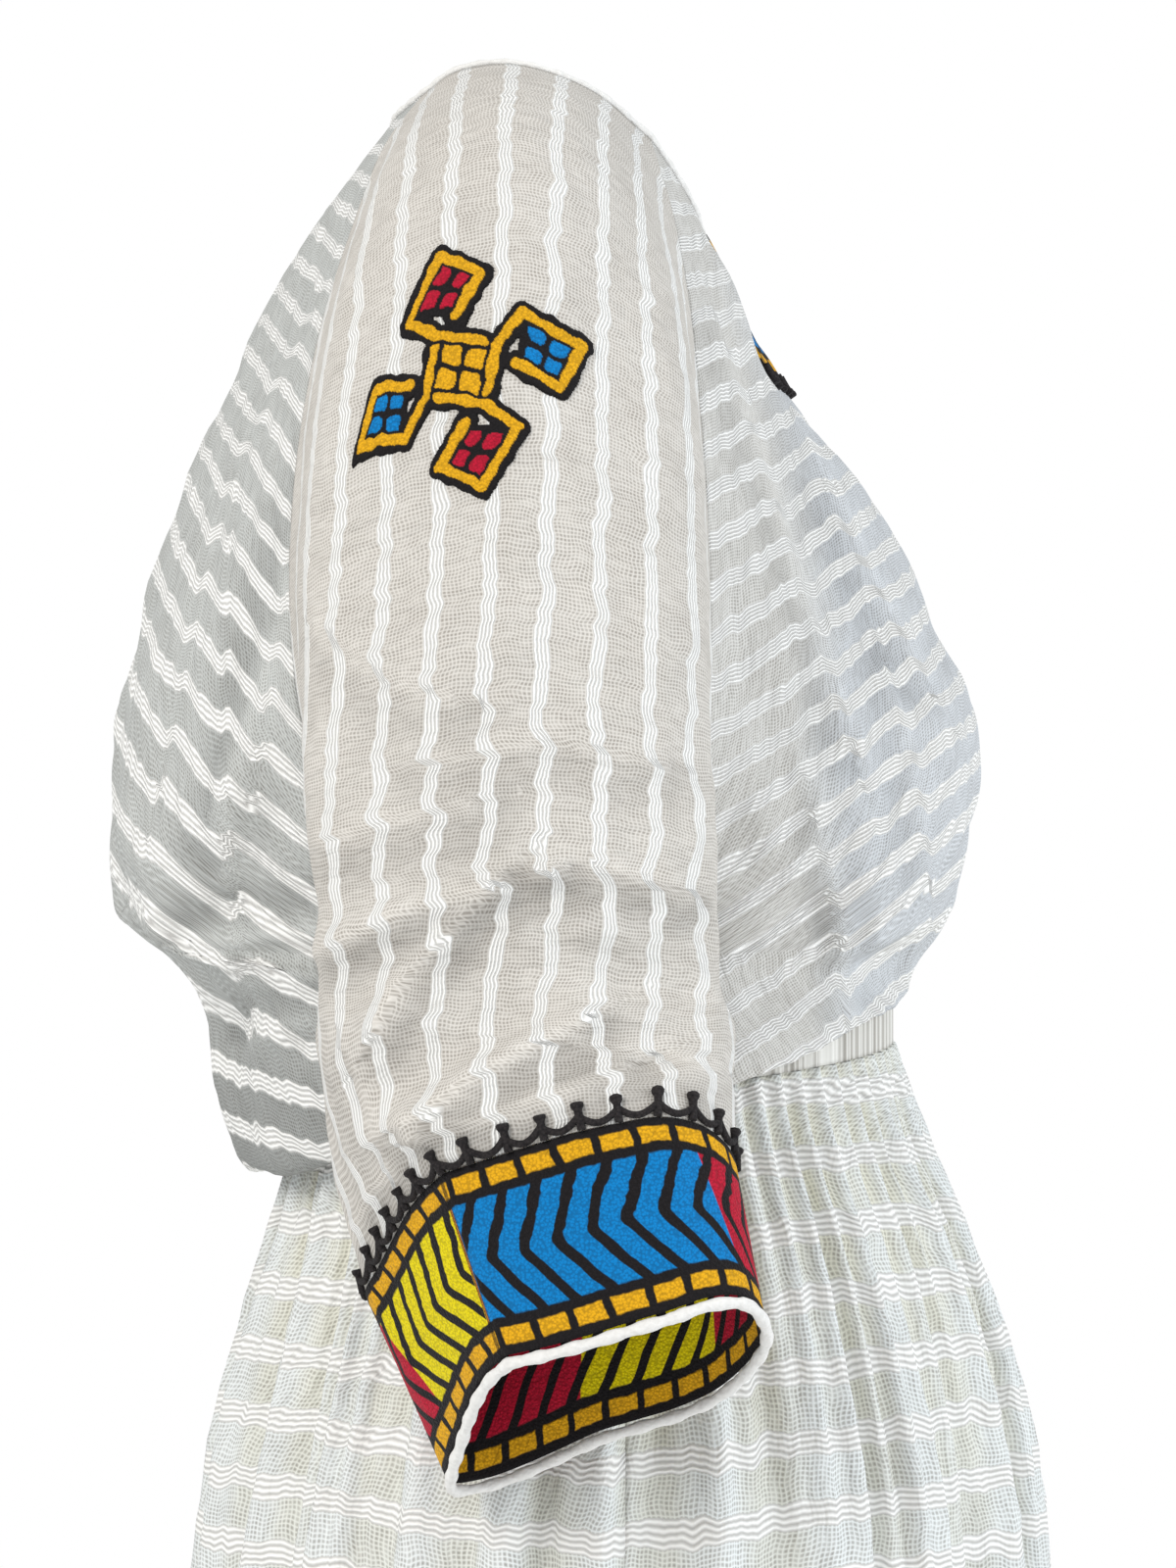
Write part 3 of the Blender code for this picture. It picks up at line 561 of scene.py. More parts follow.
def eased(points, times, closed=False):
    """The rows of points with times - 1 more between each two, on smooth curves."""
    steps = np.diff(points, axis=0)
    around = tuple(range(1, points.ndim - 1))
    length = np.maximum(np.linalg.norm(steps, axis=-1).mean(axis=around), 1e-6)
    length = length.reshape((-1,) + (1,) * (points.ndim - 1))
    slope = steps / length
    inner = (slope[:-1] * length[1:] + slope[1:] * length[:-1]) / (length[:-1] + length[1:])
    first, last = slope[:1], slope[-1:]
    if closed:
        first = last = (slope[:1] + slope[-1:]) / 2
    tangent = np.concatenate([first, inner, last])
    made = []
    for t in np.arange(times) / times:
        made.append(
            points[:-1] * (2 * t ** 3 - 3 * t ** 2 + 1)
            + points[1:] * (3 * t ** 2 - 2 * t ** 3)
            + tangent[:-1] * length * (t ** 3 - 2 * t ** 2 + t)
            + tangent[1:] * length * (t ** 3 - t ** 2)
        )
    fine = np.stack(made, axis=1).reshape(-1, *points.shape[1:])
    return np.concatenate([fine, points[-1:]])


def flipped(grid):
    return grid.swapaxes(0, 1)


def finer(grid, down, across, split=None, closed_from=None, ridge_rows=0):
    """The grid with more points. At the row split the columns near its side edges may bend sharply,
    and over its last ridge_rows rows it comes to bend sharply along the ridge too."""
    smooth = eased(grid, down)
    if split:
        broken = np.concatenate([eased(grid[:split + 1], down)[:-1], eased(grid[split:], down)])
        columns = grid.shape[1]
        share = np.clip(3 * np.sin(math.pi * np.arange(columns) / (columns - 1)), 0, 1)
        smooth = broken + (smooth - broken) * share[None, :, None]
    fine = flipped(eased(flipped(smooth), across))
    if closed_from is not None:
        ring = flipped(eased(flipped(smooth), across, closed=True))
        fine[closed_from * down:] = ring[closed_from * down:]
    if ridge_rows:
        columns = flipped(smooth)
        sharp = np.concatenate([
            eased(columns[:RIDGE_COLUMN + 1], across)[:-1], eased(columns[RIDGE_COLUMN:], across)
        ])
        near = np.exp(-(((np.arange(len(sharp)) / across - RIDGE_COLUMN) / RIDGE_REACH) ** 2))
        row = np.arange(len(fine)) / down - (len(grid) - 1 - ridge_rows)
        grown = np.clip(row / ridge_rows, 0, 1)
        if ridge_rows == len(grid) - 1:
            grown[:] = 1
        share = grown[:, None] * near
        fine = fine + (flipped(sharp) - fine) * share[..., None]
    return fine


def normals_of(grid, sign, closed=False):
    """Outward normals of a fine grid."""
    down = np.gradient(grid, axis=0)
    across = np.gradient(grid, axis=1)
    if closed:
        across[:, 0] = across[:, -1] = (grid[:, 1] - grid[:, -2]) / 2
    normal = sign * np.cross(across, -down)
    return normal / np.maximum(np.linalg.norm(normal, axis=2, keepdims=True), 1e-9)


def smooth_noise(spots, seed, waves=9):
    """Soft even noise between about -1 and 1, from a few waves in chance directions."""
    chance = np.random.default_rng(seed)
    total = np.zeros(spots.shape[:-1])
    for _ in range(waves):
        direction = chance.normal(size=spots.shape[-1])
        direction *= chance.uniform(0.6, 1.4) / np.linalg.norm(direction)
        total += np.sin(spots @ direction + chance.uniform(0, FULL_TURN))
    return total / math.sqrt(waves)


# Meshes

def quads_of(number):
    """The four point numbers of each quad of a grid of numbers."""
    a, b, c, d = number[:-1, :-1], number[1:, :-1], number[1:, 1:], number[:-1, 1:]
    return np.stack([a, b, c, d], axis=-1).reshape(-1, 4)


def cloth_object(name, outer, inner, sign, uv, finish, nodes, closed=False, tint=None):
    """A thin closed shell between two fine grids, which stands for the CAD nodes named."""
    rows, columns = outer.shape[:2]
    laid_out = np.arange(rows * columns).reshape(rows, columns)
    number = laid_out.copy()
    if closed:
        number[:, -1] = number[:, 0]
    back = number + rows * columns
    quads = [quads_of(number)[:, ::sign]]
    quads.append((quads[0] + rows * columns)[:, ::-1])
    rims = [(number[0], back[0], -sign), (number[-1], back[-1], sign)]
    if not closed:
        rims += [(number[:, 0], back[:, 0], sign), (number[:, -1], back[:, -1], -sign)]
    for edge, under, turn in rims:
        rim = np.stack([edge[:-1], edge[1:], under[1:], under[:-1]], axis=-1)
        quads.append(rim[:, ::-turn])
    faces = np.concatenate(quads)
    used, faces = np.unique(faces, return_inverse=True)
    faces = faces.reshape(-1, 4)
    points = np.concatenate([outer.reshape(-1, 3), inner.reshape(-1, 3)])[used]
    loops = np.tile(uv.reshape(-1, 2), (2, 1))
    mesh = bpy.data.meshes.new(name)
    mesh.vertices.add(len(points))
    mesh.vertices.foreach_set("co", points.ravel())
    mesh.loops.add(faces.size)
    mesh.loops.foreach_set("vertex_index", faces.ravel())
    mesh.polygons.add(len(faces))
    mesh.polygons.foreach_set("loop_start", np.arange(0, faces.size, 4))
    mesh.update(calc_edges=True)
    mesh.validate()
    layer = mesh.uv_layers.new(name="weave")
    spots = [quads_of(laid_out)[:, ::sign]]
    spots.append(spots[0][:, ::-1])
    count = sum(len(part) for part in spots)
    rim_spots = used[faces[count:]] % (rows * columns)
    spots = np.concatenate([part.ravel() for part in spots] + [rim_spots.ravel()])
    layer.uv.foreach_set("vector", loops[spots].ravel())
    if tint is not None:
        shade = mesh.color_attributes.new(name="tint", type="FLOAT_COLOR", domain="POINT")
        four = np.concatenate([tint, np.ones(tint.shape[:2] + (1,))], axis=-1).reshape(-1, 4)
        shade.data.foreach_set("color", np.tile(four, (2, 1))[used].ravel())
    mesh.shade_smooth()
    return placed_piece(name, mesh, finish, nodes)


def cotton_cloth(name, fine, normal, sign, uv, finish, tint, thick=CLOTH, closed=False):
    """The cotton shell that stands for the CAD node of this name."""
    return cloth_object(
        name + "_cloth", fine, fine - normal * thick, sign, uv, finish, [name],
        closed=closed, tint=tint,
    )


def linked(name, data):
    made = bpy.data.objects.new(name, data)
    bpy.context.scene.collection.objects.link(made)
    return made


def placed_piece(name, data, finish, nodes):
    """An object of the dress. Without nodes it stands for no CAD node of its own."""
    made = linked(name, data)
    data.materials.append(finish)
    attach(made, "root")
    if nodes:
        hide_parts(*nodes)
    return made


# Node sums

class Sum:
    """A node's output on which plain arithmetic makes more math nodes."""

    def __init__(self, tree, socket):
        self.tree = tree
        self.socket = socket

    def with_node(self, operation, *others):
        node = self.tree.nodes.new("ShaderNodeMath")
        node.operation = operation
        for slot_in, value in zip(node.inputs, (self,) + others):
            if isinstance(value, Sum):
                self.tree.links.new(value.socket, slot_in)
            else:
                slot_in.default_value = value
        return Sum(self.tree, node.outputs[0])

    def __add__(self, other):
        return self.with_node("ADD", other)

    def __sub__(self, other):
        return self.with_node("SUBTRACT", other)

    def __mul__(self, other):
        return self.with_node("MULTIPLY", other)

    def part(self):
        return self.with_node("FRACT")

    def size(self):
        return self.with_node("ABSOLUTE")

    def cosine(self):
        return self.with_node("COSINE")

    def power(self, other):
        return self.with_node("POWER", other)

    def rest(self):
        """What is left of 1."""
        return self * -1.0 + 1.0

    def step(self, low, high):
        """0 below low, 1 above high, smooth between."""
        node = self.tree.nodes.new("ShaderNodeMapRange")
        node.interpolation_type = "SMOOTHSTEP"
        self.tree.links.new(self.socket, node.inputs["Value"])
        node.inputs["From Min"].default_value = low
        node.inputs["From Max"].default_value = high
        return Sum(self.tree, node.outputs["Result"])


def new_material(name, roughness, sheen=0.0):
    made = bpy.data.materials.new(name)
    made.use_nodes = True
    shader = made.node_tree.nodes["Principled BSDF"]
    shader.inputs["Roughness"].default_value = roughness
    shader.inputs["Sheen Weight"].default_value = sheen
    shader.inputs["Sheen Roughness"].default_value = 0.5
    shader.inputs["Specular IOR Level"].default_value = 0.2
    return made, made.node_tree, shader


def flat_places(tree):
    """The two coordinates of the cloth's own layout."""
    node = tree.nodes.new("ShaderNodeUVMap")
    node.uv_map = "weave"
    split = tree.nodes.new("ShaderNodeSeparateXYZ")
    tree.links.new(node.outputs["UV"], split.inputs[0])
    return Sum(tree, split.outputs["X"]), Sum(tree, split.outputs["Y"])


def noise(tree, u, v, scale_u, scale_v, detail):
    """Chance values from 0 to 1 over two coordinates."""
    join = tree.nodes.new("ShaderNodeCombineXYZ")
    tree.links.new((u * scale_u).socket, join.inputs[0])
    tree.links.new((v * scale_v).socket, join.inputs[1])
    made = tree.nodes.new("ShaderNodeTexNoise")
    made.inputs["Scale"].default_value = 1.0
    made.inputs["Detail"].default_value = detail
    tree.links.new(join.outputs[0], made.inputs["Vector"])
    return Sum(tree, made.outputs["Fac"])


def mixed(tree, blend, share, first, second):
    """A colour made of two, each a socket or three numbers. share is a sum or a number."""
    node = tree.nodes.new("ShaderNodeMix")
    node.data_type = "RGBA"
    node.blend_type = blend
    if isinstance(share, Sum):
        tree.links.new(share.socket, node.inputs["Factor"])
    else:
        node.inputs["Factor"].default_value = share
    colours = [socket for socket in node.inputs if socket.type == "RGBA"]
    for socket, value in zip(colours, (first, second)):
        if isinstance(value, tuple):
            socket.default_value = (*value, 1.0)
        else:
            tree.links.new(value, socket)
    return [socket for socket in node.outputs if socket.type == "RGBA"][0]


def blended(tree, share, first, second):
    """A colour between two."""
    return mixed(tree, "MIX", share, first, second)


def vertex_colour(tree, layer):
    node = tree.nodes.new("ShaderNodeVertexColor")
    node.layer_name = layer
    return node.outputs["Color"]


def grain_of(tree, kind, scale, output):
    """A texture's grain over the object's own space."""
    spot = tree.nodes.new("ShaderNodeTexCoord")
    texture = tree.nodes.new(kind)
    texture.inputs["Scale"].default_value = scale
    tree.links.new(spot.outputs["Object"], texture.inputs["Vector"])
    return Sum(tree, texture.outputs[output])


def finished(tree, shader, colour, height, distance):
    """Gives a material its colour and its relief."""
    tree.links.new(colour, shader.inputs["Base Color"])
    node = tree.nodes.new("ShaderNodeBump")
    node.inputs["Distance"].default_value = distance
    node.inputs["Strength"].default_value = 1.0
    tree.links.new(height.socket, node.inputs["Height"])
    tree.links.new(node.outputs["Normal"], shader.inputs["Normal"])


# Materials

# Each cloth's ribs: the share of a stripe's pitch that a rib takes, and its thick threads.
SLEEVE_RIBS = (0.27, 4)
FRONT_RIBS = (0.40, 5)
BACK_RIBS = (0.38, 4)
RIB_SOFT = 0.012
WEAVE_THREADS = 14
GAP_POWER = 0.45
THREAD_POWER = 0.70
# The ribs' threads, the painted shade in the gaps between them, and the painted shade in the pores.
RIB_WHITE = (0.97, 0.965, 0.94)
RIB_GAP_SHADE = (0.53, 0.52, 0.50)
PORE_SHADE = (0.44, 0.42, 0.40)

# Chance values over the weave: how fast each changes in the two directions, and its detail.
SWAY = (0.5, 1.1, 1.0)
KINK = (0.8, 2.6, 1.0)
SLIDE = (1.3, 0.6, 1.0)
SLUB = (3.0, 9.0, 3.0)
PATCHES = (0.7, 0.8, 3.0)
WEAR = (1.1, 2.0, 2.0)
PUCKER = (0.9, 3.6, 2.0)
CRINKLE = (2.6, 5.0, 3.0)
SWAY_REACH, KINK_REACH, SLIDE_REACH = 0.26, 0.24, 0.30
# Between which of their values the pores, the patches and the worn ribs change, and by how much.
SLUB_STEP, PATCH_STEP, WEAR_STEP = (0.25, 0.65), (0.35, 0.75), (0.18, 0.42)
PORE_SHARE, PATCH_SHARE, WEAR_SHARE = 0.95, 0.12, 0.3

# The height of the weave's relief, and the shares in it.
WEAVE_RELIEF = 0.0012
RIB_RISE, WEAVE_RISE, PUCKER_RISE, CRINKLE_RISE, SLUB_RISE = 0.40, 0.06, 1.6, 0.5, 0.08


def wave(place, times, half=0.5):
    """Even waves between 0 and 1, times of them over one unit, from a crest or, with -0.5, a trough."""
    return (place * (FULL_TURN * times)).cosine() * half + 0.5


def gauze(name, share, threads):
    """Open plain weave with groups of thick white threads. One unit of layout is a stripe's pitch."""
    made, tree, shader = new_material(name, 0.95)
    u, v = flat_places(tree)

    def chance(table):
        return noise(tree, u, v, *table)

    across = u + (chance(SWAY) - 0.5) * SWAY_REACH + (chance(KINK) - 0.5) * KINK_REACH
    along = v + (chance(SLIDE) - 0.5) * SLIDE_REACH
    place = across.part() - 0.5
    inside = place.size().step(share / 2 + RIB_SOFT, share / 2 - RIB_SOFT)
    thread = wave(place, threads / share, -0.5 if threads % 2 == 0 else 0.5)
    warp = wave(across, WEAVE_THREADS)
    weft = wave(along, WEAVE_THREADS)
    slub = chance(SLUB)
    pore = (warp.rest() * weft.rest()).power(GAP_POWER) * (slub.step(*SLUB_STEP) * 0.5 + 0.5)
    pore_shade_and_patches = pore * PORE_SHARE + chance(PATCHES).step(*PATCH_STEP) * PATCH_SHARE
    worn = chance(WEAR).step(*WEAR_STEP) * WEAR_SHARE + (1 - WEAR_SHARE)
    tint = vertex_colour(tree, "tint")
    # The pores get painted shade; the patches are a chance darker tone.
    deep = mixed(tree, "MULTIPLY", 1.0, tint, PORE_SHADE)
    ground = blended(tree, pore_shade_and_patches, tint, deep)
    # Painted shade between a rib's threads.
    rib = blended(tree, thread.power(THREAD_POWER), RIB_GAP_SHADE, RIB_WHITE)
    colour = blended(tree, inside * worn, ground, rib)
    height = inside * thread * RIB_RISE + (warp + weft) * WEAVE_RISE + slub * SLUB_RISE
    height = height + chance(PUCKER) * PUCKER_RISE + chance(CRINKLE) * CRINKLE_RISE
    finished(tree, shader, colour, height, WEAVE_RELIEF)
    return made


ROLL_SCALE = 420.0
ROLL_DARK, ROLL_LIGHT = (0.66, 0.645, 0.62), (0.90, 0.89, 0.87)
STITCH_SCALE = 900
STITCH_RELIEF = 0.0008


def rolled_cotton():
    made, tree, shader = new_material("rolled_white_cotton", 0.9, 0.2)
    grain = grain_of(tree, "ShaderNodeTexNoise", ROLL_SCALE, "Fac")
    finished(tree, shader, blended(tree, grain, ROLL_DARK, ROLL_LIGHT), grain, STITCH_RELIEF)
    return made


GOLD = (0.80, 0.41, 0.008)
BLUE = (0.0, 0.21, 0.56)
YELLOW = (0.80, 0.66, 0.0)
RED = (0.50, 0.006, 0.032)
BLACK = (0.010, 0.008, 0.009)
# The black thread's colour on top of its stitches, and the painted shade in their hollows.
STITCH_TOP, STITCH_PAINTED_SHADE = (0.035, 0.030, 0.030), (0.008, 0.007, 0.008)

# The band's rows from its top edge, as shares of its height, and the widths of what is in them.
GOLD_TOP = (0.040, 0.128)
FIELD = (0.180, 0.800)
GOLD_LOW = (0.855, 0.945)
ROW_SOFT = 0.006
BLOCK_PITCH = 0.0145
BLOCK_BAR = 0.0032
CHEVRON_PITCH = 0.0132
CHEVRON_LEAN = 0.62
CHEVRON_LINE = 0.0046
CHEVRON_ROUND = 0.0016
LINE_SOFT = 0.02
BAND_DEPTH = 0.070
BAND_RELIEF = 0.0009
# Colour zones along the band from its corner ridge: where each ends, and its colour.
ZONES = [(0.096, BLUE), (0.165, RED), (0.225, YELLOW), (0.322, RED), (1.0, YELLOW)]
ZONE_LEAN = -0.006
ZONE_SOFT = 0.0003
# Unevenness of the band's lines, like the weave's chance values, and how far it moves them.
BAND_WOBBLE, BAND_DRIFT = (160.0, 160.0, 2.0), (40.0, 60.0, 1.0)
WOBBLE_REACH, DRIFT_REACH = 0.0022, 0.0030


def stitches(tree):
    """A bumpy chain-stitch grain, from 0 to 1."""
    return grain_of(tree, "ShaderNodeTexVoronoi", STITCH_SCALE, "Distance")


def shaded(tree, colour, grain, depth):
    """The colour, with painted shade in the grain's hollows."""
    return mixed(tree, "MULTIPLY", grain.step(0.25, 0.75), colour, (1 - depth,) * 3)


def band_embroidery():
    """Rows of gold blocks above and below a field of arrow lines over colour zones."""
    made, tree, shader = new_material("band_embroidery", 0.85, 0.04)
    s, t = flat_places(tree)
    wobble = (noise(tree, s, t, *BAND_WOBBLE) - 0.5) * WOBBLE_REACH
    drift = (noise(tree, s, t, *BAND_DRIFT) - 0.5) * DRIFT_REACH
    along = s + wobble + drift
    height = (t + wobble) * (1 / BAND_DEPTH)

    def within(low, high):
        return height.step(low - ROW_SOFT, low + ROW_SOFT) * height.step(high + ROW_SOFT, high - ROW_SOFT)

    from_middle = (height - (FIELD[0] + FIELD[1]) / 2) * BAND_DEPTH
    lean = (from_middle * from_middle + CHEVRON_ROUND ** 2).power(0.5) * CHEVRON_LEAN
    arrow = ((along - lean) * (1 / CHEVRON_PITCH)).part() - 0.5
    half_line = CHEVRON_LINE / 2 / CHEVRON_PITCH
    line = arrow.size().step(half_line + LINE_SOFT, half_line - LINE_SOFT)
    field = within(*FIELD) * line.rest()
    block = (along * (1 / BLOCK_PITCH)).part() - 0.5
    bar_from = 0.5 - BLOCK_BAR / 2 / BLOCK_PITCH
    bar = block.size().step(bar_from - LINE_SOFT, bar_from + LINE_SOFT)
    gold = (within(*GOLD_TOP) + within(*GOLD_LOW)) * bar.rest()
    colour = ZONES[-1][1]
    edge = s + (height - 0.45) * ZONE_LEAN
    for end, tone in reversed(ZONES[:-1]):
        colour = blended(tree, edge.step(end - ZONE_SOFT, end + ZONE_SOFT), tone, colour)
    colour = blended(tree, gold, blended(tree, field, BLACK, colour), GOLD)
    grain = stitches(tree)
    relief = grain * -0.5 + field * 0.25 + gold * 0.35 + line * 0.2
    # Painted shade in the stitches' hollows.
    finished(tree, shader, shaded(tree, colour, grain, 0.35), relief, BAND_RELIEF)
    return made


def painted_stitches():
    """Embroidery whose colours the mesh carries."""
    made, tree, shader = new_material("painted_stitches", 0.85, 0.04)
    grain = stitches(tree)
    # Painted shade in the stitches' hollows.
    colour = shaded(tree, vertex_colour(tree, "thread"), grain, 0.3)
    finished(tree, shader, colour, grain * -0.6, STITCH_RELIEF)
    return made


def black_stitches():
    made, tree, shader = new_material("black_stitches", 0.9, 0.02)
    grain = stitches(tree)
    # Painted shade in the stitches' hollows.
    finished(tree, shader, blended(tree, grain, STITCH_TOP, STITCH_PAINTED_SHADE), grain * -0.6, STITCH_RELIEF)
    return made


# The cloth pieces

def declare(cloth):
    """Works out a piece's widest row and its longest column, and the diagonals of its quads, and keeps none
    of them.
    """
    across = cloth[1:, :-1] - cloth[:-1, 1:]
    other = cloth[1:, 1:] - cloth[:-1, :-1]
    flat = (float(row_lengths(cloth, 1)[:, -1].max()), float(row_lengths(cloth, 0)[-1].max()))


# The pitch of the ribs on each piece, and how far the stripes lean: the back's lean less further down.
STRIPE_SLEEVE = 0.0212
STRIPE_BODY = 0.0205
STRIPE_FRONT = 0.0188
STRIPE_BACK = 0.0212
FRONT_LEAN = 0.56
BACK_LEAN, BACK_LEAN_FALL = 1.15, 3.8
BACK_LEAN_Z = -0.19
BACK_LEAN_RANGE = (0.12, 1.2)
FRONT_STRIPES_Y, BACK_STRIPES_Y = -0.07, 0.09
STRIPE_SKIRT = 0.0265
CASING_PITCH = 0.042

# The cloth's tints, from the warm ones to the cooler ones, and the casing's. The back's is painted shade, the
# front's are painted warm light and painted bluish shade, and the skirt's cream is painted shade.
WARM = np.array([0.70, 0.67, 0.625])
BACK_PAINTED_SHADE = np.array([0.575, 0.59, 0.575])
FRONT_PAINTED_LIGHT = np.array([0.70, 0.69, 0.66])
FRONT_PAINTED_SHADE = np.array([0.655, 0.68, 0.705])
SKIRT_PAINTED_CREAM_SHADE = np.array([0.80, 0.79, 0.68])
PALE = np.array([0.83, 0.86, 0.855])
CASING = np.array([0.80, 0.79, 0.75])


def row_lengths(grid, axis):
    steps = np.linalg.norm(np.diff(grid, axis=axis), axis=2)
    zero = np.zeros_like(steps[:1] if axis == 0 else steps[:, :1])
    return np.concatenate([zero, np.cumsum(steps, axis=axis)], axis=axis)


def even_tint(shape, colour):
    return np.broadcast_to(colour, shape[:2] + (3,)).copy()


def body_grids():
    front = panel_grid(FRONT_SECTIONS, FRONT_SEAM, FRONT_LOWER, True)
    back = panel_grid(BACK_SECTIONS, BACK_SEAM, BACK_LOWER, False)
    grids = [front, back, sleeve_grid(RIGHT), sleeve_grid(LEFT)]
    signs = [1, -1, -1, 1]
    rises = [blouson_rise(front), blouson_rise(back), crease_rise(grids[2]), crease_rise(grids[3])]
    normals = joined_normals(list(zip(grids, signs)))
    return [g + n * rise[..., None] for g, n, rise in zip(grids, normals, rises)], signs


def signed_distance(spots, points):
    """Distance to a line of points, positive on the lower side of a line drawn from back to front."""
    nearest = np.full(spots.shape[:-1], np.inf)
    signed = np.zeros(spots.shape[:-1])
    for start, end in zip(points[:-1], points[1:]):
        way = end - start
        apart = distance_to_line(spots, start, end)
        past = spots - start
        side = np.sign(way[0] * past[..., 1] - way[1] * past[..., 0])
        closer = apart < nearest
        signed = np.where(closer, apart * side, signed)
        nearest = np.where(closer, apart, nearest)
    return signed


# A fold's trough lies below its ridge: how far in half breadths, how broad, and how deep.
TROUGH_PLACE, TROUGH_BREADTH, TROUGH_DEPTH = 2.0, 1.4, 0.7
# How sharply the painted highlight on a ridge ends, and how far folds and their painted shade fade where the
# cloth doesn't face the side.
RIDGE_SHARP = 1.6
SIDE_FACING = 1.6


def folds(grid, normal, table):
    """How far points move out for folds, and the painted shade in a trough and the painted highlight on its
    ridge.
    """
    rise = np.zeros(grid.shape[:2])
    trough = np.zeros(grid.shape[:2])
    facing = np.clip(abs(normal[..., 0]) * SIDE_FACING, 0, 1)
    for fold in table:
        apart = signed_distance(grid[..., 1:], crease_line(fold)) / fold.breadth
        below = np.exp(-(((apart - TROUGH_PLACE) / TROUGH_BREADTH) ** 2))
        rise += fold.rise * (np.exp(-(apart ** 2)) - TROUGH_DEPTH * below)
        share = min(1, abs(fold.rise) / DEEP_FOLD)
        trough += (below - RIDGE_LIGHT * np.exp(-((apart * RIDGE_SHARP) ** 2))) * share
    return rise * facing, np.clip(trough, -RIDGE_LIGHT, 1) * facing


def slips(grid, table):
    """How far the stripes jump where they cross a crease, as a share of their pitch."""
    slip = np.zeros(grid.shape[:2])
    for fold in table:
        apart = signed_distance(grid[..., 1:], crease_line(fold))
        slip += SLIP_STEP * np.tanh(apart / SLIP_WIDTH) * np.exp(-abs(apart) / SLIP_REACH)
    return slip


# Creases across the back panel, seen from the side.
BACK_FOLDS = [
    Crease(0.060, -0.150, 0.092, -0.232, 0.118, -0.330, 0.0060, 0.0030),
    Crease(0.040, -0.345, 0.082, -0.366, 0.128, -0.372, 0.0060, 0.0036),
    Crease(0.030, -0.372, 0.070, -0.398, 0.112, -0.412, 0.0055, 0.0032),
]
# Soft folds of the back and the front, seen from the side, the same on both sides.
BODY_FOLDS = [
    Crease(0.075, -0.120, 0.105, -0.190, 0.120, -0.290, 0.012, 0.004),
    Crease(0.085, -0.260, 0.120, -0.310, 0.150, -0.340, 0.012, 0.005),
    Crease(0.085, -0.300, 0.110, -0.350, 0.140, -0.385, 0.010, -0.005),
    Crease(0.080, -0.200, 0.100, -0.250, 0.128, -0.300, 0.009, -0.003),
    Crease(0.060, -0.330, 0.090, -0.395, 0.120, -0.430, 0.009, 0.004),
    Crease(-0.078, -0.095, -0.099, -0.163, -0.116, -0.242, 0.008, -0.004),
    Crease(-0.066, -0.110, -0.080, -0.180, -0.098, -0.260, 0.009, 0.003),
    Crease(-0.092, -0.280, -0.104, -0.306, -0.107, -0.325, 0.006, -0.003),
    Crease(-0.120, -0.250, -0.135, -0.300, -0.138, -0.350, 0.010, 0.002),
    Crease(-0.090, -0.340, -0.120, -0.370, -0.150, -0.395, 0.010, -0.002),
]


# A fold that stands out beside the neck's front on each side.
Bump = namedtuple("Bump", "rise out half_width z half_height")
NECK_FOLD = Bump(0.0085, 0.068, 0.014, -0.092, 0.024)


def neck_fold(spots):
    x, _, z = np.moveaxis(spots, -1, 0)
    across = (abs(x) - NECK_FOLD.out) / NECK_FOLD.half_width
    up = (z - NECK_FOLD.z) / NECK_FOLD.half_height
    return NECK_FOLD.rise * np.exp(-(across ** 2) - up ** 2)


# Creases down the front, at which its stripes jump.
FRONT_FOLDS = [
    Crease(-0.082, -0.131, -0.110, -0.215, -0.132, -0.291, 0.0050, 0.0026),
    Crease(-0.112, -0.136, -0.131, -0.200, -0.165, -0.262, 0.0050, 0.0026),
    Crease(-0.132, -0.139, -0.165, -0.190, -0.185, -0.249, 0.0045, 0.0016),
    Crease(-0.150, -0.262, -0.160, -0.300, -0.166, -0.345, 0.0045, 0.0018),
    Crease(-0.118, -0.330, -0.126, -0.362, -0.130, -0.395, 0.0045, 0.0018),
]
# Lines down the back, at which its stripes jump.
BACK_SLIPS = [
    Crease(0.052, -0.110, 0.088, -0.200, 0.104, -0.300, 0.0060, 0.0030),
    Crease(0.086, -0.120, 0.122, -0.190, 0.146, -0.300, 0.0060, 0.0030),
    Crease(0.118, -0.230, 0.120, -0.300, 0.112, -0.400, 0.0060, 0.0030),
]
# The rise of a fold that gets its painted shade in full, the painted shade in a trough and the painted
# highlight on a ridge, and how the stripes jump at a crease.
DEEP_FOLD = 0.0033
FOLD_SHADE = 0.26
RIDGE_LIGHT = 0.5
SLIP_STEP = 0.20
SLIP_WIDTH = 0.0016
SLIP_REACH = 0.018
SLEEVE_SLIP = 0.7

